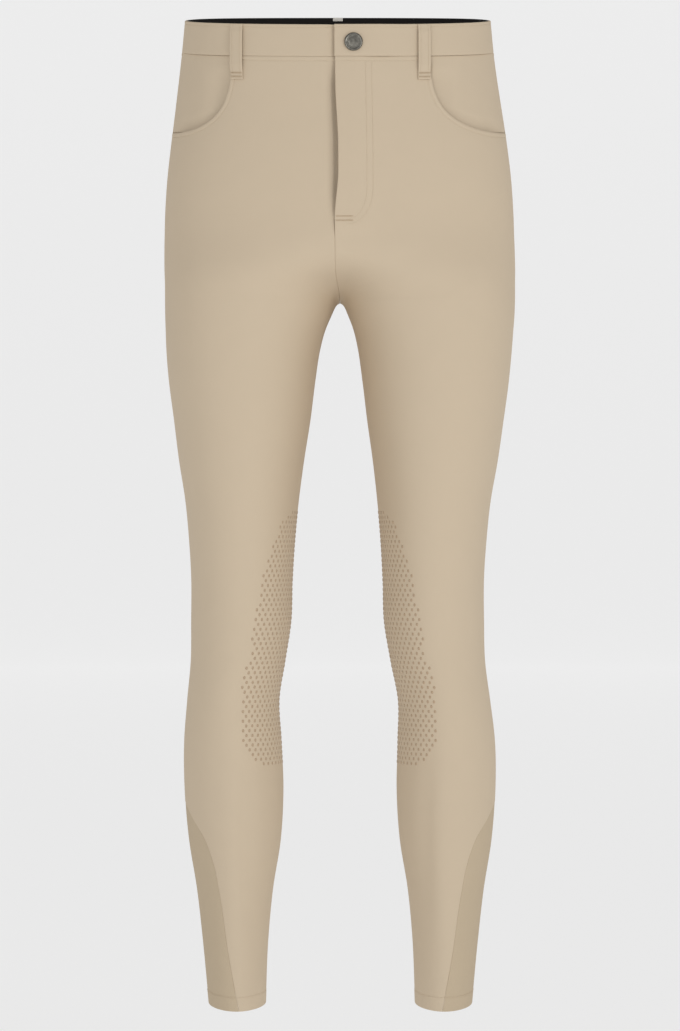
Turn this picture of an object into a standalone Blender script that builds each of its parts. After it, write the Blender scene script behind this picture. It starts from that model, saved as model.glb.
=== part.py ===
"""Riding breeches: stretch cloth breeches, filled out and hollow, held at the waist.

The cloth follows one smooth form, given by the short FORM table: a row for each level of the
body and leg, measured down from the top of the waistband. Every piece is a patch of that form
with its own edges, its own wall and its own distance outwards. Lengths below are millimetres;
+X is the wearer's left, -Y the front and +Z up, with the origin in the middle of the waistband.
"""
import bmesh
import bpy
import numpy as np

MM = 0.001
GAP = 0.3            # clear distance between neighbouring pieces
CLOTH = 1.2          # wall of the leg panels
BAND_WALL = 2.0      # waistband, two layers of cloth
LINING_WALL = 1.0
FILM = 0.5           # printed grip on the inner knee
WAIST_TOP = 17.5     # height of the waistband's upper edge at the sides
BAND_HEIGHT = 32.0
HEM = 985.0
CROTCH = 283.0
KNEE_TOP = 495.0
KNEE_END = 743.0
INSERT_TOP = 778.0
FLY_END = 203.0      # where the open part of the fly stops
SEAM_SHIFT = 4.5     # the centre front line sits this far towards the wearer's right
HIP_SHIFT = 7.3      # and the pockets and loops turn with it
BACK_EASE = 0.0015   # the slope of the waist levels off towards the back, for each mm behind the middle
INNER_COLUMNS = 5    # columns of a panel from its inner seam to the knee grip's edge
OUTER_COLUMNS = 6    # and from there to its side seam
WAIST_LINES = 20     # columns round half of the waist

FORM_COLUMNS = ("down", "fork", "outer", "front", "back", "middle", "square", "soft", "tilt")
FORM = (
    (0.0, -152.7, 152.7, 100.0, 98.0, 0.0, 0.20, 30.0, 0.155),
    (40.0, -156.6, 156.6, 102.0, 102.0, 0.0, 0.20, 30.0, 0.145),
    (80.0, -161.8, 161.8, 104.0, 109.0, 0.0, 0.22, 30.0, 0.125),
    (120.0, -167.3, 167.3, 106.5, 117.5, 0.0, 0.24, 30.0, 0.095),
    (160.0, -171.9, 171.9, 107.5, 125.5, 0.0, 0.25, 30.0, 0.060),
    (195.0, -171.0, 174.1, 107.0, 128.0, 0.0, 0.25, 30.0, 0.030),
    (215.0, -143.0, 174.7, 106.0, 126.0, 0.5, 0.25, 29.0, 0.015),
    (235.0, -88.0, 175.2, 104.5, 121.5, 1.0, 0.25, 25.0, 0.005),
    (250.0, -42.0, 175.3, 102.7, 116.0, 1.5, 0.25, 18.0, 0.0),
    (265.0, -8.5, 175.0, 100.5, 109.0, 2.0, 0.25, 10.5, 0.0),
    (275.0, 2.4, 175.0, 99.0, 103.5, 2.0, 0.25, 7.0, 0.0),
    (283.0, 6.0, 174.9, 98.0, 99.5, 2.0, 0.24, 6.0, 0.0),
    (295.0, 10.2, 174.6, 97.0, 95.5, 2.0, 0.23, 6.0, 0.0),
    (310.0, 15.4, 173.8, 96.0, 91.5, 2.0, 0.22, 6.0, 0.0),
    (328.0, 19.6, 172.8, 95.0, 88.0, 2.0, 0.20, 6.0, 0.0),
    (360.0, 24.2, 170.0, 93.5, 83.0, 1.5, 0.18, 6.0, 0.0),
    (400.0, 29.0, 164.7, 91.0, 77.5, 1.0, 0.16, 6.0, 0.0),
    (440.0, 34.8, 159.3, 87.5, 72.5, 0.0, 0.14, 6.0, 0.0),
    (480.0, 39.6, 152.6, 82.5, 68.5, -1.0, 0.12, 6.0, 0.0),
    (520.0, 43.2, 148.6, 77.0, 65.5, -1.0, 0.12, 6.0, 0.0),
    (560.0, 45.5, 146.3, 71.0, 63.5, 0.0, 0.12, 6.0, 0.0),
    (600.0, 46.8, 146.5, 65.0, 63.0, 2.0, 0.12, 6.0, 0.0),
    (640.0, 53.0, 147.3, 59.0, 63.5, 5.0, 0.12, 6.0, 0.0),
    (680.0, 59.8, 151.8, 53.0, 66.5, 9.0, 0.12, 6.0, 0.0),
    (720.0, 58.6, 155.8, 47.5, 71.5, 13.0, 0.12, 6.0, 0.0),
    (770.0, 57.1, 156.0, 42.0, 76.0, 17.0, 0.12, 6.0, 0.0),
    (820.0, 60.0, 152.2, 36.5, 76.5, 20.0, 0.10, 6.0, 0.0),
    (870.0, 67.9, 144.3, 31.0, 73.5, 21.5, 0.08, 6.0, 0.0),
    (920.0, 72.6, 138.6, 25.5, 69.0, 22.0, 0.06, 6.0, 0.030),
    (985.0, 75.2, 132.4, 20.0, 64.0, 22.0, 0.05, 6.0, 0.140),
)

# The stance: how far each level stands towards the wearer's left.
SWAY_COLUMNS = ("down", "across")
SWAY = (
    (0.0, 0.0),
    (35.0, 0.0),
    (115.0, 1.2),
    (215.0, 1.6),
    (283.0, 2.2),
    (330.0, 1.3),
    (400.0, 1.0),
    (500.0, 0.1),
    (640.0, 0.1),
    (730.0, 1.9),
    (800.0, 2.4),
    (HEM, 2.6),
)

# Outer front edge of the shin, where the stretch insert is sewn in: down and across.
INSERT_COLUMNS = ("down", "across")
INSERT_SEAM = (
    (INSERT_TOP, 157.0),
    (786.0, 153.3),
    (797.0, 147.5),
    (815.0, 136.0),
    (837.0, 127.5),
    (875.0, 119.5),
    (930.0, 111.5),
    (HEM, 103.0),
)

# Front edge of the knee grip: down and across.
GRIP_COLUMNS = ("down", "across")
GRIP_EDGE = (
    (KNEE_TOP, 52.0),
    (515.0, 61.0),
    (545.0, 72.0),
    (580.0, 79.5),
    (632.0, 88.5),
    (660.0, 95.5),
    (690.0, 98.5),
    (720.0, 97.5),
    (735.0, 88.0),
    (KNEE_END, 74.0),
)

# Pocket scoop: a quarter of a squared ellipse between the waistband and the side seam.
POCKET_START = 102.6
POCKET_DROP = 112.5
POCKET_ROUND_ACROSS = 1.9
POCKET_ROUND_DOWN = 3.4
POCKET_UNDER = 16.0
POCKET_END = 130.0
POCKET_ROWS = 6
POCKET_RECESS = CLOTH + 2.0 * GAP
BEARER_END = 0.515       # share of the way round, just past the side seam
BEARER_COLUMNS = 8
BEARER_DIVE = (25.0, 5.0)    # it sinks deeper between these heights above the scoop's end

# Laps of the fly and the waistband: how far the under lap runs, how high the upper one lifts,
# and over what distance it settles back.
LAP_UNDER = 8.0
LAP_RISE = CLOTH + 4.0 * GAP
LAP_FLAT = 6.0
LAP_SETTLE = 38.0
LAP_FOOT = 24.0
BAND_UNDER = 30.0
BAND_RISE = BAND_WALL + GAP
BAND_FLAT = 2.0
BAND_SETTLE = 45.0

# Fly strips: depth behind the right front, reach to each side, and ends past the open part.
ZIP_WALL = 0.9
ZIP_DEPTH = CLOTH + 4.0 * GAP
ZIP_REACH = 14.0
ZIP_TOP = BAND_HEIGHT + 4.0
ZIP_END = FLY_END - 8.0
SHIELD_DEPTH = ZIP_DEPTH + ZIP_WALL + 2.0 * GAP
SHIELD_LEFT = 30.0
SHIELD_RIGHT = 20.0
SHIELD_TOP = BAND_HEIGHT + 2.0
SHIELD_END = FLY_END - 3.0

LOOP_WIDTH = 12.0
LOOP_LENGTH = 56.0
LOOP_WALL = 1.6
LOOP_RISE = 1.3
LOOP_ACROSS = 91.5
LOOP_LEVELS = (0.6, 4.0, 12.0, BAND_HEIGHT, 46.0, LOOP_LENGTH)
LOOP_LIFTS = (2.0, 10.0)     # leaves the band between these levels
LOOP_LANDS = (40.0, 51.0)    # and meets the body between these

BUTTON_RADIUS = 9.0
BUTTON_HEIGHT = 3.0
BUTTON_ACROSS = 14.0
BUTTON_DOWN = 15.5
BUTTON_PROFILE = (
    (BUTTON_RADIUS, 0.0),
    (BUTTON_RADIUS, 1.4),
    (8.3, 2.2),
    (6.5, BUTTON_HEIGHT - 0.4),
    (3.5, BUTTON_HEIGHT - 0.1),
)
BUTTON_STEPS = 20

TAB_WIDTH = 9.0
TAB_LEVELS = (0.4, 4.0)
TAB_WALL = 0.8

LINING_LEVELS = (0.8, BAND_HEIGHT / 2.0, BAND_HEIGHT - 2.0)
BAND_LEVELS = (0.0, 4.0, BAND_HEIGHT / 2.0, BAND_HEIGHT)
INSERT_ACROSS = 12       # columns of the calf insert
ROUNDING_STEPS = 44      # halvings that find the form along a ray
FORK_LIFT = 10.0         # how softly the middle of a half moves over to the leg
SHARP_ANGLE = 40.0       # edges sharper than this stay crisp

# Rows of the body panels: between the pocket and the crotch, near the crotch, and the thigh.
HIP_LEVELS = (POCKET_END, 160.0, FLY_END - 4.0, FLY_END, 222.0, 240.0)
FORK_ABOVE = 30.0
FORK_BELOW = 32.0
FORK_ROWS = 4
THIGH_LEVELS = (345.0, 385.0, 420.0, 460.0)
SEAM_STRAIGHTENS = (235.0, 278.0)    # the shifted centre seam comes back to the middle here
GRIP_EASES_IN = 190.0
GRIP_EASES_OUT = 70.0


def linear(hex_colour):
    """Scene-linear colour of an sRGB hex value."""
    channels = [int(hex_colour[i:i + 2], 16) / 255.0 for i in (0, 2, 4)]
    return [c / 12.92 if c <= 0.04045 else ((c + 0.055) / 1.055) ** 2.4 for c in channels] + [1.0]


def material(name, colour, roughness, metallic=0.0):
    """A plain Principled BSDF finish."""
    finish = bpy.data.materials.new(name)
    finish.use_nodes = True
    shader = finish.node_tree.nodes["Principled BSDF"]
    shader.inputs["Base Color"].default_value = linear(colour)
    shader.inputs["Roughness"].default_value = roughness
    shader.inputs["Metallic"].default_value = metallic
    return finish


def follow(table, names, name, down):
    """Smooth value of one column of a table at any depth: a cubic through its rows."""
    depth = np.array([row[0] for row in table])
    value = np.array([row[names.index(name)] for row in table])
    slope = np.gradient(value, depth)
    first = np.clip(np.searchsorted(depth, down) - 1, 0, len(depth) - 2)
    span = depth[first + 1] - depth[first]
    part = np.clip((down - depth[first]) / span, -0.05, 1.05)
    rest = 1.0 - part
    start = value[first] * (1.0 + 2.0 * part) + slope[first] * span * part
    end = value[first + 1] * (1.0 + 2.0 * rest) - slope[first + 1] * span * rest
    return start * rest ** 2 + end * part ** 2


def form(name, down):
    return follow(FORM, FORM_COLUMNS, name, down)


def ease(value, low, high):
    """Smooth step from 0 at low to 1 at high."""
    part = np.clip((value - low) / (high - low), 0.0, 1.0)
    return part * part * (3.0 - 2.0 * part)


class Section:
    """The level section of one half: a squared ellipse, rounded off where it meets its twin."""

    def __init__(self, down):
        self.soft = form("soft", down)
        self.outer = np.hypot(form("outer", down), self.soft)
        self.fork = form("fork", down)
        self.middle = form("middle", down)
        self.front = form("front", down) + self.middle
        self.back = form("back", down) - self.middle
        self.square = form("square", down)
        self.centre = (self.outer + self.fork) / 2.0
        self.half = (self.outer - self.fork) / 2.0
        self.joined = self.fork < self.soft
        lift = FORK_LIFT * np.logaddexp(0.0, self.fork / (2.0 * FORK_LIFT))
        self.hub = form("outer", down) / 2.0 + lift

    def field(self, x, y):
        """Below 0 inside the section, 0 on it and above 0 outside."""
        u = (np.sqrt(x * x + self.soft ** 2) - self.centre) / self.half
        depth = np.where(y < self.middle, self.front, self.back)
        v = (y - self.middle) / depth
        return u * u + v * v - self.square * u * u * v * v - 1.0

    def depth_at(self, x, behind):
        """Distance of the section from its middle line at x, to the front or the back."""
        u = (np.sqrt(x * x + self.soft ** 2) - self.centre) / self.half
        squared = np.clip(u * u, 0.0, 1.0)
        share = np.sqrt((1.0 - squared) / (1.0 - self.square * squared))
        return share * np.where(behind, self.back, -self.front)

    def ends(self):
        """Directions from the hub to the front and back ends of the half section."""
        start = np.where(self.joined, np.arctan2(self.depth_at(0.0, False), -self.hub), -np.pi)
        end = np.where(self.joined, np.arctan2(self.depth_at(0.0, True), -self.hub), np.pi)
        return start, end


def around(x, down, behind=False):
    """Share of the way round, 0 at the front end and 1 at the back, where the form is x across."""
    section = Section(down)
    start, end = section.ends()
    across = np.abs(x)
    y = section.depth_at(across, behind)
    angle = np.arctan2(y, across - section.hub)
    front = 0.5 * (1.0 - angle / start)
    rear = 0.5 * (1.0 + angle / end)
    share = np.where(behind, rear, front)
    return np.where(np.asarray(x) < 0.0, np.where(behind, 2.0 - share, -share), share)


def form_point(share, down):
    """Point of the left half of the form; past its ends it crosses to the right half."""
    share, down = np.broadcast_arrays(np.asarray(share, float), np.asarray(down, float))
    section = Section(down)
    start, end = section.ends()
    folded = np.where(share < 0.0, -share, np.where(share > 1.0, 2.0 - share, share))
    inside = np.where(section.joined, folded, share)
    mirror = np.where(section.joined & (folded != share), -1.0, 1.0)
    angle = np.where(inside < 0.5, start * (1.0 - 2.0 * inside), end * (2.0 * inside - 1.0))
    ray_x = np.cos(angle)
    ray_y = np.sin(angle)
    low = np.zeros(share.shape)
    high = np.full(share.shape, 2.0 * np.max(section.outer))
    limit_y = np.where(ray_y < 0.0, section.front, section.back)
    high = np.minimum(high, limit_y / np.maximum(np.abs(ray_y), 1e-9))
    outer_x = np.sqrt(section.outer ** 2 - section.soft ** 2)
    inner_x = np.sqrt(np.maximum(section.fork ** 2 - section.soft ** 2, 0.0))
    inner_x = np.where(section.joined, 0.0, inner_x)
    reach = np.where(ray_x > 0.0, outer_x - section.hub, section.hub - inner_x)
    high = np.minimum(high, reach / np.maximum(np.abs(ray_x), 1e-9))
    for _ in range(ROUNDING_STEPS):
        centre = (low + high) / 2.0
        inner = section.field(section.hub + centre * ray_x, section.middle + centre * ray_y) < 0.0
        low = np.where(inner, centre, low)
        high = np.where(inner, high, centre)
    distance = (low + high) / 2.0
    x = mirror * (section.hub + distance * ray_x)
    y = section.middle + distance * ray_y
    return x, y, down


def height(y, down):
    """Height of a point: levels near the waist and the hem slope down towards the front."""
    behind = y - form("middle", down)
    return WAIST_TOP - down + form("tilt", down) * behind * (1.0 - BACK_EASE * np.maximum(behind, 0.0))


def outward(x, y, down):
    """Unit normal of the form, from the slope of its field."""
    step = 0.05
    slope_x = Section(down).field(x + step, y) - Section(down).field(x - step, y)
    slope_y = Section(down).field(x, y + step) - Section(down).field(x, y - step)
    slope_d = Section(down + step).field(x, y) - Section(down - step).field(x, y)
    fall = (height(y, down + step) - height(y, down - step)) / (2.0 * step)
    lean = form("tilt", down)
    normal = np.stack([slope_x, slope_y - slope_d * lean / fall, slope_d / fall], axis=-1)
    return normal / np.linalg.norm(normal, axis=-1, keepdims=True)


def skin(share, down, rise):
    """Points of the left half, moved out of the form by rise."""
    x, y, level = form_point(share, down)
    points = np.stack([x, y, height(y, level)], axis=-1)
    return points + outward(x, y, level) * np.asarray(rise)[..., None]


def share_gap(share, down):
    """Half of the seam gap, as a share of the way round."""
    step = 0.002
    x0, y0, _ = form_point(share - step, down)
    x1, y1, _ = form_point(share + step, down)
    speed = np.hypot(x1 - x0, y1 - y0) / (2.0 * step)
    return GAP / 2.0 / speed


def shell(name, side, share, down, rise, wall, finish):
    """A closed cloth wall over a grid of the form; rows run down it, columns round it."""
    share, down, rise = np.broadcast_arrays(share, down, rise)
    outside = skin(share, down, rise)
    inside = skin(share, down, rise - wall)
    rows, columns = share.shape
    mesh = bmesh.new()
    layers = []
    sway = follow(SWAY, SWAY_COLUMNS, "across", down)
    for layer in (outside, inside):
        layer[..., 0] = layer[..., 0] * side + sway
        layer = layer * MM
        layers.append([[mesh.verts.new(point) for point in row] for row in layer])
    outer, inner = layers
    for r in range(rows - 1):
        for c in range(columns - 1):
            mesh.faces.new((outer[r][c], outer[r + 1][c], outer[r + 1][c + 1], outer[r][c + 1]))
            mesh.faces.new((inner[r][c], inner[r][c + 1], inner[r + 1][c + 1], inner[r + 1][c]))
    for r in range(rows - 1):
        mesh.faces.new((inner[r][0], inner[r + 1][0], outer[r + 1][0], outer[r][0]))
        mesh.faces.new((outer[r][-1], outer[r + 1][-1], inner[r + 1][-1], inner[r][-1]))
    for c in range(columns - 1):
        mesh.faces.new((inner[0][c], outer[0][c], outer[0][c + 1], inner[0][c + 1]))
        mesh.faces.new((outer[-1][c], inner[-1][c], inner[-1][c + 1], outer[-1][c + 1]))
    bmesh.ops.triangulate(mesh, faces=mesh.faces[:], quad_method="FIXED")
    bmesh.ops.recalc_face_normals(mesh, faces=mesh.faces[:])
    return finish_mesh(name, mesh, finish)


def finish_mesh(name, mesh, finish):
    """Turn a closed bmesh into a named object with its material."""
    data = bpy.data.meshes.new(name)
    mesh.to_mesh(data)
    mesh.free()
    data.shade_smooth()
    data.set_sharp_from_angle(angle=np.radians(SHARP_ANGLE))
    data.materials.append(finish)
    piece = bpy.data.objects.new(name, data)
    bpy.context.collection.objects.link(piece)
    return piece


def side_name(side):
    return "left" if side > 0 else "right"


def spread(low, high, count):
    """Grid of shares between two edges given row by row."""
    low, high = np.broadcast_arrays(low, high)
    return low[:, None] + (high - low)[:, None] * np.linspace(0.0, 1.0, count)[None, :]


def grip_edge(down, behind):
    """Edge of the knee grip, easing to an even quarter of the way round above and below it."""
    level = np.clip(down, KNEE_TOP, KNEE_END)
    edge = around(follow(GRIP_EDGE, GRIP_COLUMNS, "across", level), level, behind)
    even = 0.75 if behind else 0.25
    above = ease(down, KNEE_TOP - GRIP_EASES_IN, KNEE_TOP)
    below = 1.0 - ease(down, KNEE_END, KNEE_END + GRIP_EASES_OUT)
    return even + (edge - even) * above * below


def split_spread(low, middle, high, first, last):
    """Grid of shares with a column on a line between the two edges."""
    return np.hstack([spread(low, middle, first), spread(middle, high, last)[:, 1:]])


def ring_spread(low, high):
    """Grid of shares on lines that every piece of the waist shares, between its own two ends."""
    lines = np.arange(-WAIST_LINES // 4, WAIST_LINES) / WAIST_LINES
    margin = 0.3 / WAIST_LINES
    lines = lines[(lines > np.max(low) + margin) & (lines < np.min(high) - margin)]
    middle = np.repeat(lines[None, :], len(low), axis=0)
    return np.hstack([low[:, None], middle, high[:, None]])


def centre_edge(side, down):
    """Front end of a front panel: the centre seam, then the crotch and the inseam."""
    shift = SEAM_SHIFT * (1.0 - ease(down, *SEAM_STRAIGHTENS))
    above = around(-side * shift, np.minimum(down, CROTCH - 0.01))
    edge = np.where(down < CROTCH, above, 0.0)
    return edge + share_gap(edge, down)


def fly_lap(side, down):
    """Front end of a front panel in the fly: the left laps over, the right runs on beneath."""
    seam = centre_edge(side, down)
    if side > 0:
        return seam
    under = around(-LAP_UNDER, down)
    return seam + (under - seam) * (1.0 - ease(down, FLY_END - 4.0, FLY_END))


def lap_rise(side, share, down):
    """How far the left front lifts to pass over the right front in the fly."""
    if side < 0:
        return np.zeros(np.broadcast(share, down).shape)
    x, _, _ = form_point(share, down)
    across = 1.0 - ease(x, LAP_UNDER + LAP_FLAT, LAP_UNDER + LAP_SETTLE)
    along = 1.0 - ease(down, FLY_END + 2.0, FLY_END + LAP_FOOT)
    return LAP_RISE * across * along


def pocket_x(side):
    return POCKET_START - side * HIP_SHIFT


def scoop_top(side, share):
    """Top of the front panel: the waistband seam, then the scoop down to the side seam."""
    x, _, _ = form_point(share, POCKET_DROP)
    side_x = form("outer", POCKET_DROP)
    part = np.clip((x - pocket_x(side)) / (side_x - pocket_x(side)), 0.0, 1.0)
    fall = (1.0 - (1.0 - part) ** POCKET_ROUND_ACROSS) ** (1.0 / POCKET_ROUND_DOWN)
    return BAND_HEIGHT + GAP + (POCKET_DROP - BAND_HEIGHT - GAP) * fall


def insert_edge(down):
    """Side seam above the calf, then the diagonal seam of the stretch insert."""
    x = follow(INSERT_SEAM, INSERT_COLUMNS, "across", np.maximum(down, INSERT_TOP))
    edge = around(np.minimum(x, form("outer", down)), down)
    return np.where(down > INSERT_TOP, np.minimum(edge, 0.5), 0.5)


def knee_levels():
    return np.array([row[0] for row in GRIP_EDGE])


def body_levels():
    """Levels of the panel rows below the pocket: close together at the crotch and the insert."""
    near = np.linspace(1.0, 0.0, FORK_ROWS + 1)[:-1]
    fork_above = CROTCH - FORK_ABOVE * near ** 2
    fork_below = CROTCH + FORK_BELOW * near[::-1] ** 2
    saddle = [CROTCH + GAP]
    calf = np.array([row[0] for row in INSERT_SEAM])
    return np.concatenate([HIP_LEVELS, fork_above, saddle, fork_below, THIGH_LEVELS,
                           knee_levels(), calf])


def leg_front(side, finish):
    """Front panel: a block of rows beside the pocket scoop, then level rows down to the hem."""
    drop = np.linspace(0.0, 1.0, POCKET_ROWS)[:-1]
    top = BAND_HEIGHT + GAP + (POCKET_END - BAND_HEIGHT - GAP) * drop
    low = fly_lap(side, top)
    high = np.full(top.shape, 0.5) - share_gap(np.full(top.shape, 0.5), top)
    scoop = around(np.full(top.shape, pocket_x(side)), np.full(top.shape, POCKET_DROP))
    upper = split_spread(low, scoop + (0.25 - scoop) * drop, high, INNER_COLUMNS, OUTER_COLUMNS)
    edge = scoop_top(side, upper)
    upper_down = edge + (POCKET_END - edge) * drop[:, None]
    down = body_levels()
    low = np.where(down < FLY_END + 1.0, fly_lap(side, down), centre_edge(side, down))
    edge = insert_edge(down)
    high = edge - share_gap(edge, down)
    line = np.minimum(grip_edge(down, False), 0.6 * high)
    lower = split_spread(low, line, high, INNER_COLUMNS, OUTER_COLUMNS)
    share = np.vstack([upper, lower])
    level = np.vstack([upper_down, np.repeat(down[:, None], lower.shape[1], axis=1)])
    rise = lap_rise(side, share, level)
    return shell("front_" + side_name(side), side, share, level, rise, CLOTH, finish)


def leg_back(side, finish):
    top = np.linspace(BAND_HEIGHT + GAP, POCKET_END, POCKET_ROWS)[:-1]
    down = np.concatenate([top, body_levels()])
    down = down[down <= INSERT_TOP]
    down[-1] = INSERT_TOP - GAP
    low = 0.5 + share_gap(np.full(down.shape, 0.5), down)
    high = 1.0 - share_gap(np.ones(down.shape), down)
    share = split_spread(low, grip_edge(down, True), high, OUTER_COLUMNS, INNER_COLUMNS)
    return shell("back_" + side_name(side), side, share, down[:, None], 0.0, CLOTH, finish)


def calf_insert(side, finish):
    down = body_levels()
    down = down[down >= INSERT_TOP]
    edge = insert_edge(down)
    low = edge + share_gap(edge, down)
    high = 1.0 - share_gap(np.ones(down.shape), down)
    share = spread(low, high, INSERT_ACROSS)
    return shell("calf_insert_" + side_name(side), side, share, down[:, None], 0.0, CLOTH, finish)


def pocket_bearer(side, finish):
    """Hip piece behind the scoop, tucked under the front and under the side seam."""
    down = np.linspace(BAND_HEIGHT + GAP, POCKET_DROP + POCKET_UNDER, POCKET_ROWS + 2)
    start = pocket_x(side) - POCKET_UNDER
    share = spread(around(np.full(down.shape, start), down), np.full(down.shape, BEARER_END),
                   BEARER_COLUMNS)
    far, near = BEARER_DIVE
    recess = POCKET_RECESS + 4.0 * GAP * ease(down, POCKET_DROP - far, POCKET_DROP - near)
    return shell("pocket_bearer_" + side_name(side), side, share, down[:, None],
                 -recess[:, None], CLOTH - GAP, finish)


def band_rise(side, share, down):
    if side < 0:
        return np.zeros(np.broadcast(share, down).shape)
    x, _, _ = form_point(share, down)
    ahead = np.where(share < 0.5, 1.0, 0.0)
    return BAND_RISE * ahead * (1.0 - ease(x, BAND_UNDER + BAND_FLAT, BAND_UNDER + BAND_SETTLE))


def waistband(side, finish):
    """Half of the waistband: the left end laps over the right one and closes with the stud."""
    down = np.array(BAND_LEVELS)
    reach = SEAM_SHIFT if side > 0 else BAND_UNDER
    low = around(np.full(down.shape, -reach), down)
    high = 1.0 - share_gap(np.ones(down.shape), down)
    share = ring_spread(low, high)
    rise = band_rise(side, share, down[:, None])
    return shell("waistband_" + side_name(side), side, share, down[:, None], rise, BAND_WALL, finish)


def waist_lining(side, finish):
    """Dark inner band, seen above the front edge of the waist."""
    down = np.array(LINING_LEVELS)
    start = around(np.full(down.shape, BAND_UNDER if side > 0 else 0.0), down)
    low = np.full(down.shape, np.ceil(np.max(start) * WAIST_LINES) / WAIST_LINES)
    high = 1.0 - share_gap(np.ones(down.shape), down)
    share = ring_spread(low, high)
    rise = band_rise(side, share, down[:, None]) - BAND_WALL - GAP
    return shell("waist_lining_" + side_name(side), side, share, down[:, None], rise,
                 LINING_WALL, finish)


def fly_strip(name, left_reach, right_reach, depth, wall, top, end, finish):
    """A strip behind the fly, from the wearer's right to left, depth behind the right front."""
    down = np.linspace(top, end, 7)
    low = around(np.full(down.shape, -right_reach), down)
    high = around(np.full(down.shape, left_reach), down)
    return shell(name, 1.0, spread(low, high, 6), down[:, None], -depth, wall, finish)


def belt_loop(name, side, across, behind, finish):
    """A strip sewn down at both ends, standing just off the waistband between them."""
    down = np.array(LOOP_LEVELS)
    edge_low = across - LOOP_WIDTH / 2.0
    edge_high = across + LOOP_WIDTH / 2.0
    if behind:
        edge_low, edge_high = edge_high, edge_low
    low = around(np.full(down.shape, edge_low), down, behind)
    high = around(np.full(down.shape, edge_high), down, behind)
    share = spread(low, high, 3)
    bow = LOOP_RISE * ease(down, *LOOP_LIFTS) * (1.0 - ease(down, *LOOP_LANDS))
    rise = GAP + LOOP_WALL + bow
    return shell(name, side, share, down[:, None], rise[:, None], LOOP_WALL, finish)


def knee_grip(side, finish):
    """Printed grip over the inner knee, from the front edge round the inseam to the back."""
    down = knee_levels()
    inseam = share_gap(np.zeros(down.shape), down)
    behind = spread(grip_edge(down, True) - 1.0, -inseam, INNER_COLUMNS)
    ahead = spread(inseam, grip_edge(down, False), INNER_COLUMNS)
    return shell("knee_grip_" + side_name(side), side, np.hstack([behind, ahead]), down[:, None],
                 GAP + FILM, FILM, finish)


def waist_button(finish):
    """Domed stud cap on the left end of the waistband."""
    down = np.full(1, BUTTON_DOWN)
    share = around(np.full(1, BUTTON_ACROSS), down)
    seat = skin(share, down, np.full(1, BAND_RISE + GAP))[0] * MM
    x, y, level = form_point(share, down)
    facing = outward(x, y, level)[0]
    sideways = np.cross(facing, (0.0, 0.0, 1.0))
    sideways /= np.linalg.norm(sideways)
    upward = np.cross(sideways, facing)
    mesh = bmesh.new()
    rings = []
    for radius, rise in BUTTON_PROFILE:
        ring = []
        for step in range(BUTTON_STEPS):
            turn = 2.0 * np.pi * step / BUTTON_STEPS
            spoke = np.cos(turn) * sideways + np.sin(turn) * upward
            ring.append(mesh.verts.new(seat + (spoke * radius + facing * rise) * MM))
        rings.append(ring)
    for lower, upper in zip(rings, rings[1:]):
        for step in range(BUTTON_STEPS):
            after = (step + 1) % BUTTON_STEPS
            mesh.faces.new((lower[step], lower[after], upper[after], upper[step]))
    mesh.faces.new(rings[0][::-1])
    crown = mesh.verts.new(seat + facing * BUTTON_HEIGHT * MM)
    for step in range(BUTTON_STEPS):
        mesh.faces.new((rings[-1][step], rings[-1][(step + 1) % BUTTON_STEPS], crown))
    bmesh.ops.recalc_face_normals(mesh, faces=mesh.faces[:])
    return finish_mesh("waist_button", mesh, finish)


def back_tab(finish):
    """Small bare tab folded over the top of the lining at the centre back."""
    down = np.array(TAB_LEVELS)
    low = around(np.full(down.shape, TAB_WIDTH / 2.0), down, True)
    high = around(np.full(down.shape, -TAB_WIDTH / 2.0), down, True)
    depth = BAND_WALL + GAP + LINING_WALL + GAP
    return shell("back_tab", 1.0, spread(low, high, 4), down[:, None], -depth, TAB_WALL, finish)


def build():
    for piece in list(bpy.data.objects):
        bpy.data.objects.remove(piece, do_unlink=True)
    cloth = material("stretch_twill", "C3B296", 0.85)
    insert = material("stretch_jersey", "B5A489", 0.9)
    dark = material("dark_elastic", "141110", 0.8)
    silicone = material("silicone_print", "B39D7E", 0.5)
    pewter = material("pewter", "6D6A65", 0.35, 1.0)
    pale = material("pale_tape", "B9B6B1", 0.8)
    for side in (1.0, -1.0):
        leg_front(side, cloth)
        leg_back(side, cloth)
        pocket_bearer(side, cloth)
        calf_insert(side, insert)
        waistband(side, cloth)
        waist_lining(side, dark)
        knee_grip(side, silicone)
        name = side_name(side)
        belt_loop("belt_loop_front_" + name, side, LOOP_ACROSS - side * HIP_SHIFT, False, cloth)
        belt_loop("belt_loop_back_" + name, side, LOOP_ACROSS, True, cloth)
    belt_loop("belt_loop_back_centre", 1.0, 0.0, True, cloth)
    fly_strip("fly_zip", ZIP_REACH, ZIP_REACH, ZIP_DEPTH, ZIP_WALL, ZIP_TOP, ZIP_END, pewter)
    fly_strip("fly_shield", SHIELD_LEFT, SHIELD_RIGHT, SHIELD_DEPTH, CLOTH, SHIELD_TOP,
              SHIELD_END, cloth)
    waist_button(pewter)
    back_tab(pale)


build()
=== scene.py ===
"""Riding breeches in fine stretch twill, filled out and hollow, as held at the waist.

Every cloth piece is a thin shell on one smooth form, which the FORM table gives: a row for each
level, measured down from the top of the waistband. Lengths in the tables are millimetres, and
meshes are made in metres. +X is the wearer's left, -Y the front and +Z up.
"""
import math

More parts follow.
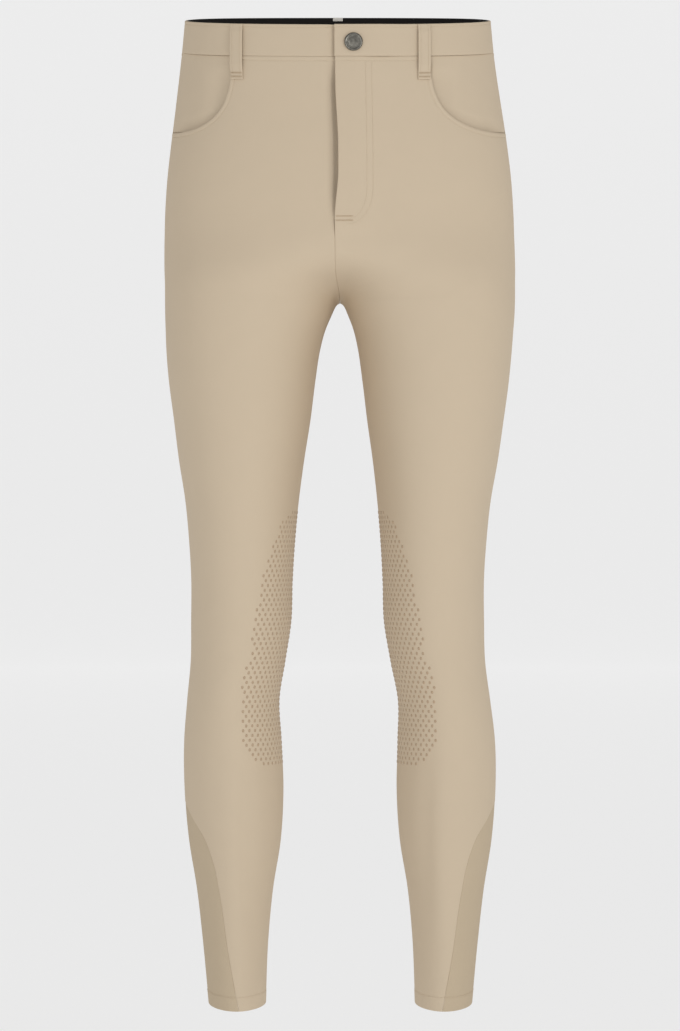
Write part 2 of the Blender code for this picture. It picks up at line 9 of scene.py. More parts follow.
import bmesh
import bpy
import numpy as np
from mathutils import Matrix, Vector


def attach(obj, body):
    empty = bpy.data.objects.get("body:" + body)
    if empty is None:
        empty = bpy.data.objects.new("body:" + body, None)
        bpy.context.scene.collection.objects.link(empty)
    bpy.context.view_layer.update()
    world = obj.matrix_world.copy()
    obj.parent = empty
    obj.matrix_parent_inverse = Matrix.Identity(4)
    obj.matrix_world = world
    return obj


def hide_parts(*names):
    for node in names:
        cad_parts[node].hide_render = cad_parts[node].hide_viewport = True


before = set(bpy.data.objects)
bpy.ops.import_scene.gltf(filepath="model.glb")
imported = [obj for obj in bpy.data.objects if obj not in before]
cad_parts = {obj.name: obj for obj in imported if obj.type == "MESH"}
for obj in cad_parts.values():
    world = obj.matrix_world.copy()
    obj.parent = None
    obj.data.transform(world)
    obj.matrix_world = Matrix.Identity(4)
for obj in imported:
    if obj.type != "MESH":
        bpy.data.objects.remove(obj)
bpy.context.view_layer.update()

MM = 0.001
SEAM = 0.05          # clear distance between panels at a seam
GAP = 0.3            # clear distance between layers laid one on the other
CLOTH = 1.2          # walls: the legs, the waistband and the elastic inside it
BAND_WALL = 2.0
LINING_WALL = 1.0
WAIST_TOP = 17.5     # the waistband's top over the origin
BAND_HEIGHT = 32.0
HEM = 984.0          # levels below the waistband's top
CROTCH = 283.0
INSERT_TOP = 778.0
FLY_END = 203.0
SEAM_SHIFT = 4.5     # the centre front, the pockets and the front loops stand towards the right
HIP_SHIFT = 7.3
BACK_EASE = 0.0009   # the waist's slope eases off towards the back

# The form by level: where one half starts and ends across, its depths to the front and the back
# of its middle line, how square it is, how softly the halves join, and how far its levels tilt.
FORM_COLUMNS = ("down", "fork", "outer", "front", "back", "middle", "square", "soft", "tilt")
FORM = (
    (0.0, -152.7, 152.7, 100.0, 98.0, 0.0, 0.20, 30.0, 0.155),
    (40.0, -156.6, 156.6, 102.0, 102.0, 0.0, 0.20, 30.0, 0.145),
    (80.0, -161.8, 161.8, 104.0, 109.0, 0.0, 0.22, 30.0, 0.125),
    (120.0, -167.3, 167.3, 106.5, 117.5, 0.0, 0.24, 30.0, 0.095),
    (160.0, -171.9, 171.9, 107.5, 125.5, 0.0, 0.25, 30.0, 0.060),
    (195.0, -171.0, 174.1, 107.0, 128.0, 0.0, 0.25, 30.0, 0.030),
    (215.0, -143.0, 174.7, 106.0, 126.0, 0.5, 0.25, 29.0, 0.015),
    (235.0, -88.0, 175.2, 104.5, 121.5, 1.0, 0.25, 25.0, 0.005),
    (250.0, -42.0, 175.3, 102.7, 116.0, 1.5, 0.25, 18.0, 0.0),
    (265.0, -8.5, 175.0, 100.5, 109.0, 2.0, 0.25, 10.5, 0.0),
    (275.0, 2.4, 175.0, 99.0, 103.5, 2.0, 0.25, 7.0, 0.0),
    (283.0, 6.0, 174.9, 98.0, 99.5, 2.0, 0.24, 6.0, 0.0),
    (295.0, 10.2, 174.6, 97.0, 95.5, 2.0, 0.23, 6.0, 0.0),
    (310.0, 15.4, 173.8, 96.0, 91.5, 2.0, 0.22, 6.0, 0.0),
    (328.0, 19.6, 172.8, 95.0, 88.0, 2.0, 0.20, 6.0, 0.0),
    (360.0, 24.2, 170.0, 93.5, 83.0, 1.5, 0.18, 6.0, 0.0),
    (400.0, 29.0, 164.7, 91.0, 77.5, 1.0, 0.16, 6.0, 0.0),
    (440.0, 34.8, 159.3, 87.5, 72.5, 0.0, 0.14, 6.0, 0.0),
    (480.0, 39.6, 152.6, 82.5, 68.5, -1.0, 0.12, 6.0, 0.0),
    (520.0, 43.2, 148.6, 77.0, 65.5, -1.0, 0.12, 6.0, 0.0),
    (560.0, 45.5, 146.3, 71.0, 63.5, 0.0, -0.02, 6.0, 0.0),
    (600.0, 46.8, 146.5, 65.0, 63.0, 2.0, -0.08, 6.0, 0.0),
    (640.0, 53.0, 147.3, 59.0, 63.5, 5.0, -0.16, 6.0, 0.0),
    (680.0, 59.8, 151.8, 53.0, 66.5, 9.0, -0.24, 6.0, 0.0),
    (720.0, 58.6, 155.8, 47.5, 71.5, 13.0, -0.30, 6.0, 0.0),
    (770.0, 57.1, 156.0, 42.0, 76.0, 17.0, -0.32, 6.0, 0.0),
    (820.0, 60.0, 152.2, 36.5, 76.5, 20.0, -0.32, 6.0, 0.0),
    (870.0, 67.9, 144.3, 31.0, 73.5, 21.5, -0.32, 6.0, 0.0),
    (920.0, 72.6, 138.6, 25.5, 69.0, 22.0, -0.28, 6.0, 0.030),
    (985.0, 75.2, 132.4, 20.0, 64.0, 22.0, -0.22, 6.0, 0.118),
)

# The stance: how far each level stands towards the wearer's left.
SWAY = (
    (0.0, 0.0),
    (35.0, 0.0),
    (115.0, 1.2),
    (215.0, 1.6),
    (283.0, 2.2),
    (330.0, 1.3),
    (400.0, 1.0),
    (500.0, 0.1),
    (640.0, 0.1),
    (730.0, 1.9),
    (800.0, 2.4),
    (HEM, 2.6),
)

# Edges across the form: the calf insert's seam, and the outline of the knee grip.
EDGE_COLUMNS = ("down", "across")
INSERT_SEAM = (
    (INSERT_TOP, 157.0),
    (786.0, 153.3),
    (797.0, 147.5),
    (815.0, 136.0),
    (837.0, 127.5),
    (875.0, 119.5),
    (930.0, 111.5),
    (HEM, 100.9),
)
GRIP_TOP = 487.0
GRIP_END = 746.0
GRIP_PITCH = 6.9     # dots along a row, with every other row set half a pitch over
GRIP_ROWS = 4.8
GRIP_CLEAR = 1.5     # dots stay this far inside the outline
GRIP_EDGE = (
    (GRIP_TOP, 41.0),
    (495.0, 51.0),
    (515.0, 61.0),
    (545.0, 72.0),
    (580.0, 79.5),
    (632.0, 88.5),
    (660.0, 95.5),
    (690.0, 98.5),
    (720.0, 97.5),
    (735.0, 88.0),
    (743.0, 74.0),
    (GRIP_END, 60.0),
)

POCKET_START = 102.6  # the scoop leaves the waistband here, and meets the side seam at its drop
POCKET_DROP = 112.5
POCKET_ROUND_ACROSS = 1.9
POCKET_ROUND_DOWN = 3.4
POCKET_UNDER = 16.0   # the bearer runs on this far under the front
POCKET_END = 130.0    # the front's rows are level again from here
POCKET_RECESS = 1.8   # the bearer lies this deep, and sinks further beside the scoop's edge
POCKET_SINK = 3.2
POCKET_SEAM_DEPTH = 0.5
BEARER_WALL = 0.9
INSERT_IN = 0.25     # the insert is thinner than the legs and lies a little in from them
INSERT_WALL = 1.0

# Soft folds of one half, front (-1) and back (1): both ends across and down, width and depth.
CREASES = (
    (-1.0, 22.0, 262.0, 96.0, 222.0, 9.0, 0.35),
    (-1.0, 26.0, 292.0, 104.0, 268.0, 10.0, 0.35),
    (-1.0, 34.0, 330.0, 92.0, 372.0, 14.0, 0.30),
    (-1.0, 140.0, 598.0, 84.0, 662.0, 12.0, 0.45),
    (-1.0, 66.0, 640.0, 112.0, 700.0, 12.0, 0.35),
    (-1.0, 138.0, 716.0, 96.0, 748.0, 10.0, 0.30),
    (-1.0, 90.0, 690.0, 87.0, 970.0, 9.0, 1.1),
    (1.0, 18.0, 268.0, 118.0, 306.0, 9.0, 1.3),
    (1.0, 34.0, 312.0, 120.0, 330.0, 9.0, 0.8),
    (1.0, 20.0, 60.0, 110.0, 84.0, 12.0, 0.5),
    (1.0, 56.0, 566.0, 138.0, 588.0, 7.0, 1.2),
    (1.0, 58.0, 612.0, 140.0, 596.0, 7.0, 1.4),
    (1.0, 62.0, 634.0, 138.0, 652.0, 8.0, 1.0),
    (1.0, 74.0, 900.0, 126.0, 918.0, 8.0, 0.7),
    (1.0, 78.0, 948.0, 124.0, 934.0, 8.0, 0.6),
)

LOOP_WIDTH = 12.0
LOOP_LENGTH = 56.0
LOOP_WALL = 1.6
LOOP_RISE = 1.3      # a loop bows this far off the waistband
LOOP_ACROSS = 91.5

LAP_UNDER = 8.0      # the right front runs on this far under the left one in the fly
LAP_RISE = 2.2
LAP_BOW = 3.6        # the lap's edge is drawn back, and the cloth beside it sinks
FLY_SINK = 6.4
BAND_UNDER = 30.0    # the waistband's right end runs on this far under its left end
BAND_RISE = 2.3
BAND_SINK = 2.2
BAND_END = 3.4
BUTTON_ACROSS = 15.2
BUTTON_DOWN = 17.8


# ---------------------------------------------------------------- the form

def follow(table, names, name, down):
    """Smooth value of one column of a table at any level: a cubic through its rows."""
    depth = np.array([row[0] for row in table])
    value = np.array([row[names.index(name)] for row in table])
    slope = np.gradient(value, depth)
    first = np.clip(np.searchsorted(depth, down) - 1, 0, len(depth) - 2)
    span = depth[first + 1] - depth[first]
    part = np.clip((down - depth[first]) / span, -0.05, 1.05)
    rest = 1.0 - part
    start = value[first] * (1.0 + 2.0 * part) + slope[first] * span * part
    end = value[first + 1] * (1.0 + 2.0 * rest) - slope[first + 1] * span * rest
    return start * rest ** 2 + end * part ** 2


def form(name, down):
    """One column of the form's own table, at any level."""
    return follow(FORM, FORM_COLUMNS, name, down)


def ease(value, low, high):
    """Smooth step from 0 at low to 1 at high."""
    part = np.clip((value - low) / (high - low), 0.0, 1.0)
    return part * part * (3.0 - 2.0 * part)


HUB_EASE = 10.0      # the middle of a half moves out gradually as the legs part
HALVINGS = 40        # steps in the search for the form's surface


class Section:
    """The level section of one half: a squared ellipse, rounded off where it meets its twin."""

    def __init__(self, down):
        self.soft = form("soft", down)
        self.outer = np.hypot(form("outer", down), self.soft)
        self.fork = form("fork", down)
        self.middle = form("middle", down)
        self.front = form("front", down) + self.middle
        self.back = form("back", down) - self.middle
        self.square = form("square", down)
        self.centre = (self.outer + self.fork) / 2.0
        self.half = (self.outer - self.fork) / 2.0
        self.joined = self.fork < self.soft
        fork_share = self.fork / (2.0 * HUB_EASE)
        self.hub = form("outer", down) / 2.0 + HUB_EASE * np.logaddexp(0.0, fork_share)

    def field(self, x, y):
        """Below 0 inside the section, 0 on it and above 0 outside."""
        u = (np.sqrt(x * x + self.soft ** 2) - self.centre) / self.half
        depth = np.where(y < self.middle, self.front, self.back)
        v = (y - self.middle) / depth
        return u * u + v * v - self.square * u * u * v * v - 1.0

    def depth_at(self, x, behind):
        """Distance of the section from its middle line at x, to the front or the back."""
        u = (np.sqrt(x * x + self.soft ** 2) - self.centre) / self.half
        squared = np.clip(u * u, 0.0, 1.0)
        share = np.sqrt((1.0 - squared) / (1.0 - self.square * squared))
        return share * np.where(behind, self.back, -self.front)

    def ends(self):
        """Directions from the hub to the front and back ends of the half section."""
        start = np.where(self.joined, np.arctan2(self.depth_at(0.0, False), -self.hub), -np.pi)
        end = np.where(self.joined, np.arctan2(self.depth_at(0.0, True), -self.hub), np.pi)
        return start, end


def around(x, down, behind=False):
    """Share of the way round, 0 at the front end and 1 at the back, where the form is x across."""
    section = Section(down)
    start, end = section.ends()
    across = np.abs(x)
    y = section.depth_at(across, behind)
    angle = np.arctan2(y, across - section.hub)
    front = 0.5 * (1.0 - angle / start)
    rear = 0.5 * (1.0 + angle / end)
    share = np.where(behind, rear, front)
    return np.where(np.asarray(x) < 0.0, np.where(behind, 2.0 - share, -share), share)


def form_point(share, down):
    """Point of the left half of the form; past its ends it crosses to the right half."""
    share, down = np.broadcast_arrays(np.asarray(share, float), np.asarray(down, float))
    section = Section(down)
    start, end = section.ends()
    folded = np.where(share < 0.0, -share, np.where(share > 1.0, 2.0 - share, share))
    inside = np.where(section.joined, folded, share)
    mirror = np.where(section.joined & (folded != share), -1.0, 1.0)
    angle = np.where(inside < 0.5, start * (1.0 - 2.0 * inside), end * (2.0 * inside - 1.0))
    ray_x = np.cos(angle)
    ray_y = np.sin(angle)
    low = np.zeros(share.shape)
    limit_y = np.where(ray_y < 0.0, section.front, section.back)
    high = limit_y / np.maximum(np.abs(ray_y), 1e-9)
    outer_x = np.sqrt(section.outer ** 2 - section.soft ** 2)
    inner_x = np.sqrt(np.maximum(section.fork ** 2 - section.soft ** 2, 0.0))
    inner_x = np.where(section.joined, 0.0, inner_x)
    reach = np.where(ray_x > 0.0, outer_x - section.hub, section.hub - inner_x)
    high = np.minimum(high, reach / np.maximum(np.abs(ray_x), 1e-9))
    for _ in range(HALVINGS):
        middle = (low + high) / 2.0
        inner = section.field(section.hub + middle * ray_x, section.middle + middle * ray_y) < 0.0
        low = np.where(inner, middle, low)
        high = np.where(inner, high, middle)
    distance = (low + high) / 2.0
    x = mirror * (section.hub + distance * ray_x)
    y = section.middle + distance * ray_y
    return x, y, down


def height(y, down):
    """Height of a point: levels near the waist and the hem slope down towards the front."""
    behind = y - form("middle", down)
    slope = form("tilt", down) * behind
    return WAIST_TOP - down + slope * (1.0 - BACK_EASE * np.maximum(behind, 0.0))


def outward(x, y, down):
    """Unit normal of the form, from the slope of its field."""
    step = 0.05
    here = Section(down)
    slope_x = here.field(x + step, y) - here.field(x - step, y)
    slope_y = here.field(x, y + step) - here.field(x, y - step)
    slope_d = Section(down + step).field(x, y) - Section(down - step).field(x, y)
    fall = (height(y, down + step) - height(y, down - step)) / (2.0 * step)
    lean = form("tilt", down)
    normal = np.stack([slope_x, slope_y - slope_d * lean / fall, slope_d / fall], axis=-1)
    return normal / np.linalg.norm(normal, axis=-1, keepdims=True)


def speed(share, down):
    """Millimetres of cloth for each unit of share, at each level."""
    step = 0.002
    x0, y0, _ = form_point(share - step, down)
    x1, y1, _ = form_point(share + step, down)
    return np.hypot(x1 - x0, y1 - y0) / (2.0 * step)


def seam_edge(share, down, way):
    """A panel's edge along the seam at this share: half the seam's gap after (1) or before (-1)."""
    return share + way * SEAM / 2.0 / speed(share, down)


def lap_rise(side, share, down):
    """How far the left front lifts to pass over the right front in the fly."""
    if side < 0:
        return np.zeros(np.broadcast(share, down).shape)
    x, _, _ = form_point(share, down)
    across = 1.0 - ease(x, LAP_UNDER + 6.0, LAP_UNDER + 38.0)
    along = 1.0 - ease(down, FLY_END + 2.0, FLY_END + 24.0)
    return LAP_RISE * across * along


def lap_bow(down):
    """How far the lap's edge is drawn back towards the wearer's left, most half way down."""
    return LAP_BOW * (1.0 - ease(down, 150.0, FLY_END)) * (0.5 + 0.5 * ease(down, 60.0, 125.0))


def fly_sink(x, down):
    """How far the cloth sinks towards the fly's edge, where the lap stands over it."""
    across = ease(x, -SEAM_SHIFT - 9.0, -0.5) * (1.0 - ease(x, 18.0, 32.0))
    along = ease(down, 30.0, 66.0) * (1.0 - ease(down, 165.0, FLY_END + 4.0))
    return FLY_SINK * across * (0.25 * (1.0 - ease(down, 190.0, FLY_END + 4.0)) + 0.75 * along)


def band_rise(side, share, down):
    """How far the left end of the waistband lifts to pass over the right end."""
    if side < 0:
        return np.zeros(np.broadcast(share, down).shape)
    x, _, _ = form_point(share, down)
    ahead = np.where(share < 0.5, 1.0, 0.0)
    return BAND_RISE * ahead * (1.0 - ease(x, BAND_UNDER + 2.0, BAND_UNDER + 45.0))


def band_sink(side, share, down):
    """How far the right end of the waistband sinks under the left end."""
    if side > 0:
        return 0.0
    x, _, _ = form_point(share, down)
    return BAND_SINK * np.where(share < 0.5, 1.0, 0.0) * (1.0 - ease(np.maximum(x, 0.0), 2.5, 11.0))


def pocket_x(side):
    """Where a pocket's scoop starts across, on its own half."""
    return POCKET_START - side * HIP_SHIFT


def scoop_top(side, share):
    """Top of the front panel: the waistband seam, then the scoop down to the side seam."""
    x, _, _ = form_point(share, POCKET_DROP)
    side_x = form("outer", POCKET_DROP)
    part = np.clip((x - pocket_x(side)) / (side_x - pocket_x(side)), 0.0, 1.0)
    fall = (1.0 - (1.0 - part) ** POCKET_ROUND_ACROSS) ** (1.0 / POCKET_ROUND_DOWN)
    return BAND_HEIGHT + SEAM + (POCKET_DROP - BAND_HEIGHT - SEAM) * fall


def insert_edge(down):
    """Side seam above the calf, then the diagonal seam of the stretch insert."""
    x = follow(INSERT_SEAM, EDGE_COLUMNS, "across", np.maximum(down, INSERT_TOP))
    edge = around(np.minimum(x, form("outer", down)), down)
    return np.where(down > INSERT_TOP, np.minimum(edge, 0.5), 0.5)


def centre_edge(side, down):
    """Front end of a front panel: the centre seam, then the crotch and the inseam."""
    shift = SEAM_SHIFT * (1.0 - ease(down, 252.0, 284.0)) - (lap_bow(down) if side > 0 else 0.0)
    above = around(-side * shift, np.minimum(down, CROTCH - 0.01))
    return seam_edge(np.where(down < CROTCH, above, 0.0), down, 1.0)


def fly_lap(side, down):
    """Front end of a front panel in the fly: the left laps over, the right runs on beneath."""
    seam = centre_edge(side, down)
    if side > 0:
        return seam
    under = around(-LAP_UNDER, down)
    return seam + (under - seam) * (1.0 - ease(down, FLY_END - 5.0, FLY_END))


# ---------------------------------------------------------------- meshes

def placed(name, data):
    """An object at the origin that carries the given mesh, lamp or camera."""
    item = bpy.data.objects.new(name, data)
    bpy.context.collection.objects.link(item)
    return item


def mesh_object(name, points, faces, uvs=None):
    """A mesh object at the origin from points in millimetres."""
    data = bpy.data.meshes.new(name)
    data.from_pydata((np.asarray(points) * MM).tolist(), [], faces.tolist())
    if uvs is not None:
        layer = data.uv_layers.new(name="Cloth")
        corner = np.empty(len(data.loops), dtype=np.int32)
        data.loops.foreach_get("vertex_index", corner)
        layer.data.foreach_set("uv", np.asarray(uvs, dtype=np.float32)[corner].ravel())
    data.update()
    data.shade_smooth()
    return placed(name, data)


def grid_faces(rows, columns, flip):
    """Quads of a grid whose points are numbered row by row."""
    first = (np.arange(rows - 1)[:, None] * columns + np.arange(columns - 1)[None, :]).ravel()
    quads = np.stack([first, first + columns, first + columns + 1, first + 1], axis=1)
    return quads[:, ::-1] if flip else quads


ROUND = 0.75         # how far in from an edge the cloth is rounded over
EDGE_DROP = 0.36     # the outside drops by this share of the wall, and the inside meets it
CLOSE = np.array([0.0, 0.07, 0.25, 0.5, 1.0]) * ROUND


def spaced(width, count):
    """Shares across rows of the given widths: close together at both edges, then even."""
    width = np.asarray(width)[:, None]
    inner = 2.0 * ROUND / width
    even = inner + (1.0 - 2.0 * inner) * np.linspace(0.0, 1.0, count)[None, :]
    return np.hstack([CLOSE[None, :] / width, even, 1.0 - CLOSE[None, ::-1] / width])


def spread(low, high, steps):
    """Grid of shares between two edges given row by row."""
    return low[:, None] + (high - low)[:, None] * steps


def reach(low, high, down):
    """Millimetres of cloth between two edges, row by row."""
    share = spread(low, high, np.linspace(0.0, 1.0, 41)[None, :])
    x, y, _ = form_point(share, down[:, None])
    return np.hypot(np.diff(x, axis=1), np.diff(y, axis=1)).sum(axis=1)


def levels(top, end, pitch):
    """Row levels a pitch apart, with rows close together at both ends."""
    count = int(round((end - top) / pitch))
    return top + (end - top) * spaced([end - top], count)[0]


def edge_distance(count):
    """Distance of each grid line from the nearer edge."""
    return np.concatenate([CLOSE, np.full(count - 2 * len(CLOSE), 2.0 * ROUND), CLOSE[::-1]])


def rounding(shape):
    """0 on the flat of a wall, rising to 1 at its edges."""
    nearest = np.minimum.outer(edge_distance(shape[0]), edge_distance(shape[1]))
    inset = np.clip(1.0 - nearest / ROUND, 0.0, 1.0)
    return 1.0 - np.sqrt(1.0 - inset ** 2)


CORNER_SWING = 0.092 # the grid line from the pocket's corner swings this share towards the fly
STITCH_IN = 4.3      # topstitching's distance from a seam, and from the waistband's top
BAND_STITCH = 3.0
HEM_DEPTH = 13.5
SEAM_ROWS = np.array([1.5, 2.4, 3.2, 3.8, 4.3, 4.8, 5.4, 6.4, 8.2])
PUFF = 0.20          # cloth stands up between seam and stitching, and is drawn in at the thread
DRAWN_IN = 0.24
HEM_THICKER = 0.22
HEM_DRAWN_IN = 0.2


def stitched(offset, line):
    """Cloth puffed up between a seam and its topstitching, and drawn in along the thread."""
    puff = PUFF * np.exp(-((offset - 0.5 * line) / (0.28 * line)) ** 2)
    return puff - DRAWN_IN * np.exp(-((offset - line) / 0.6) ** 2)


def hem_rise(down):
    """The turned-up hem is a little thicker, and drawn in along its stitching."""
    up = HEM - down
    doubled = 1.0 - ease(up, HEM_DEPTH - 1.5, HEM_DEPTH + 1.0)
    return HEM_THICKER * doubled - HEM_DRAWN_IN * np.exp(-((up - HEM_DEPTH) / 0.7) ** 2)


FOLD_BEND = 5.0      # a fold's middle bends this far off its straight line
FOLD_DIFFER = 0.12   # the left side's folds are deeper by this share, and the right's shallower


def drape(x, y, down, side):
    """The soft folds of the cloth itself: shallow troughs that run out at both ends."""
    lift = np.zeros(np.broadcast(x, down).shape)
    for face, x0, down0, x1, down1, width, depth in CREASES:
        here = ease(y * face, 2.0, 34.0)
        reach_x, reach_down = x1 - x0, down1 - down0
        length = reach_x * reach_x + reach_down * reach_down
        along = ((x - x0) * reach_x + (down - down0) * reach_down) / length
        bend = FOLD_BEND * side * np.sin(np.pi * along)
        off = ((x - x0) * reach_down - (down - down0) * reach_x) / math.sqrt(length) + bend
        taper = ease(along, 0.0, 0.45) * (1.0 - ease(along, 0.55, 1.0))
        ridge = np.exp(-(off / width) ** 2) - 0.5 * np.exp(-((off - 1.7 * width) / width) ** 2)
        lift = lift - depth * (1.0 + FOLD_DIFFER * side) * here * taper * ridge
    return lift


def cloth_points(share, down, rise, side):
    """Points and normals on the draped form of one side."""
    share, down = np.broadcast_arrays(np.asarray(share, float), np.asarray(down, float))
    x, y, level = form_point(share, down)
    normal = outward(x, y, level)
    lift = np.asarray(rise) + drape(x, y, level, side)
    points = np.stack([x, y, height(y, level)], axis=-1) + normal * lift[..., None]
    mirror = np.array([side, 1.0, 1.0])
    points = points * mirror
    points[..., 0] += follow(SWAY, EDGE_COLUMNS, "across", level)
    return points, normal * mirror


def shell(name, side, share, down, rise, wall):
    """A closed cloth wall with rounded edges over a grid of the form."""
    share, down = np.broadcast_arrays(share, down)
    turned = rounding(share.shape) * wall
    outside, _ = cloth_points(share, down, rise - EDGE_DROP * turned, side)
    inside, _ = cloth_points(share, down, rise - wall + (1.0 - EDGE_DROP) * turned, side)
    rows, columns = share.shape
    number = np.arange(rows * columns).reshape(rows, columns)
    lower = number + rows * columns
    for rim in (np.s_[0], np.s_[-1], np.s_[:, 0], np.s_[:, -1]):
        lower[rim] = number[rim]
    quads = grid_faces(rows, columns, side < 0)
    faces = np.vstack([quads, lower.ravel()[quads[:, ::-1]]])
    arc = np.linalg.norm(np.diff(outside, axis=1, prepend=outside[:, :1]), axis=2).cumsum(axis=1)
    arc -= arc[:, columns // 2][:, None]
    uv = np.stack([arc * MM * side, -down * MM], axis=-1).reshape(-1, 2)
    points = np.vstack([outside.reshape(-1, 3), inside.reshape(-1, 3)])
    used = np.zeros(len(points), bool)
    used[faces.ravel()] = True
    place = np.cumsum(used) - 1
    return mesh_object(name, points[used], place[faces], np.vstack([uv, uv])[used])


def side_name(side):
    """The wearer's side."""
    return "left" if side > 0 else "right"


# ---------------------------------------------------------------- the cloth pieces

def body_rows(end):
    """Levels below the pocket: closer together at the crotch and where the insert starts."""
    hem_line = HEM - HEM_DEPTH
    stretches = (
        (POCKET_END, 240.0, 3.5),
        (240.0, 262.0, 2.0),
        (262.0, 300.0, 1.1),
        (300.0, 330.0, 2.0),
        (330.0, 772.0, 3.6),
        (772.0, 806.0, 1.6),
        (806.0, hem_line - 3.0, 3.6),
        (hem_line - 2.4, hem_line + 2.6, 0.6),
        (hem_line + 3.4, HEM - 2.0, 2.4),
    )
    rows = np.concatenate([np.arange(*stretch) for stretch in stretches])
    rows = rows[rows < end - 2.0 * ROUND - 0.5]
    return np.concatenate([rows, [end - 2.0 * ROUND], end - CLOSE[::-1]])


WAIST_COLUMNS = 34   # grid columns along the waist seam, round the scoop and round the back
SCOOP_COLUMNS = 66
PANEL_COLUMNS = 80
BEARER_COLUMNS = 56
BAND_COLUMNS = 130
LINING_COLUMNS = 100
STRIP_COLUMNS = 12
FINE = 4000          # points in the fine line that lengths are measured along


def upper_edge(side):
    """The top of the front panel: share and level along the waist seam and the pocket scoop."""
    top = BAND_HEIGHT + SEAM
    low = fly_lap(side, np.array([top]))[0]
    corner = around(pocket_x(side), POCKET_DROP)
    end = seam_edge(0.5, POCKET_DROP, -1.0)
    width = (corner - low) * speed(0.1, top)
    steps = np.concatenate([CLOSE / width, np.linspace(2.0 * ROUND / width, 1.0, WAIST_COLUMNS)])
    waist = low + (corner - low) * steps
    fine = np.linspace(corner, end, FINE)
    level = scoop_top(side, fine)
    x, y, _ = form_point(fine, level)
    pieces = np.hypot(np.hypot(np.diff(x), np.diff(y)), np.diff(level))
    length = np.concatenate([[0.0], np.cumsum(pieces)])
    whole = length[-1]
    stops = np.linspace(0.0, whole - 2.0 * ROUND, SCOOP_COLUMNS)[1:]
    stops = np.concatenate([stops, whole - CLOSE[::-1]])
    scoop = np.interp(stops, length, fine)
    share = np.concatenate([waist, scoop])
    down = np.concatenate([np.full(len(waist), top), np.interp(stops, length, level)])
    return share, down, len(waist)


END_ROWS = 6         # the last grid lines of the scoop run straight down
TURN_OVER = 28.0     # the grid turns from the waist seam to the scoop within this length
EASE_ROWS = 26       # rows between the pocket's edge and the first level row
RELAXED = 340.0      # the grid lines are evenly spread from this level down


def inward(share, down, corner):
    """Directions into the panel from its upper edge, turned gradually past its corner."""
    pace = speed(share, down)
    across = np.gradient(share) * pace
    fall = np.gradient(down)
    size = np.hypot(across, fall)
    across, fall = across / size, fall / size
    across[:corner], fall[:corner] = 1.0, 0.0
    across[-END_ROWS:], fall[-END_ROWS:] = 1.0, 0.0
    length = np.concatenate([[0.0], np.cumsum(size)])[:-1]
    away = np.abs(length - length[corner - 1])
    turn = 1.0 - ease(away, 0.0, TURN_OVER)
    turn[:corner] *= -1.0
    return (-fall + turn * across) / pace, across + turn * fall


def across_panel(low, high, rows, columns):
    """Grid of shares between a panel's two upright edges."""
    return spread(low, high, spaced(reach(low, high, rows), columns))


def leg_front(side):
    """Front panel: rows along its upper edge, rows that ease to level ones, then down the leg."""
    share, down, corner = upper_edge(side)
    below = share[corner - 1] - CORNER_SWING
    into, fall = inward(share, down, corner)
    offset = np.concatenate([CLOSE, SEAM_ROWS])[:, None]
    edge_share = share + into * offset
    edge_down = down + fall * offset
    top = np.array([POCKET_END])
    low = fly_lap(side, top)
    high = seam_edge(0.5, top, -1.0)
    close = len(CLOSE)
    steps_top = spaced(reach(low, high, top), len(share) - 2 * close)[0]
    turn = (below - low[0]) / (high[0] - low[0])
    steps_top[close:corner] = np.linspace(steps_top[close], turn, corner - close)
    beyond = len(share) - close - corner + 1
    steps_top[corner - 1:-close] = np.linspace(turn, steps_top[-close - 1], beyond)
    bottom = spread(low, high, steps_top[None, :])[0]
    part = np.linspace(0.0, 1.0, EASE_ROWS)[1:-1, None]
    upper_share = edge_share[-1] + (bottom - edge_share[-1]) * part
    upper_down = edge_down[-1] + (POCKET_END - edge_down[-1]) * part
    share = np.vstack([edge_share, upper_share])
    down = np.vstack([edge_down, upper_down])
    fixed = fly_lap(side, down[:, 0])
    for column in range(close):
        share[:, column] = fixed + CLOSE[column] / speed(fixed, down[:, column])
    rows = body_rows(HEM)
    low = np.where(rows < FLY_END + 1.0, fly_lap(side, rows), centre_edge(side, rows))
    high = seam_edge(insert_edge(rows), rows, -1.0)
    relax = ease(rows, POCKET_END, RELAXED)[:, None]
    even = spaced(reach(low, high, rows), len(steps_top) - 2 * close)
    lower = spread(low, high, steps_top * (1.0 - relax) + even * relax)
    raised = np.zeros(share.shape)
    raised[:len(offset)] = stitched(offset, STITCH_IN) * ease(offset, 0.0, 1.0)
    rise = np.vstack([raised, np.repeat(hem_rise(rows)[:, None], lower.shape[1], axis=1)])
    share = np.vstack([share, lower])
    down = np.vstack([down, np.repeat(rows[:, None], lower.shape[1], axis=1)])
    x, _, _ = form_point(share, down)
    rise = rise + lap_rise(side, share, down) - (fly_sink(-x, down) if side < 0 else 0.0)
    return shell("leg_front_" + side_name(side), side, share, down, rise, CLOTH)


def leg_back(side):
    """Back panel: from the waistband seam down to the calf insert's level seam."""
    top = BAND_HEIGHT + SEAM
    seat = np.arange(top + 11.0, POCKET_END - 1.0, 3.6)
    rows = np.concatenate([top + CLOSE, top + SEAM_ROWS, seat, body_rows(INSERT_TOP - SEAM)])
    share = across_panel(seam_edge(0.5, rows, 1.0), seam_edge(1.0, rows, -1.0), rows, PANEL_COLUMNS)
    rise = stitched(rows - top, STITCH_IN) * ease(rows - top, 0.0, 1.0)
    return shell("leg_back_" + side_name(side), side, share, rows[:, None], rise[:, None], CLOTH)


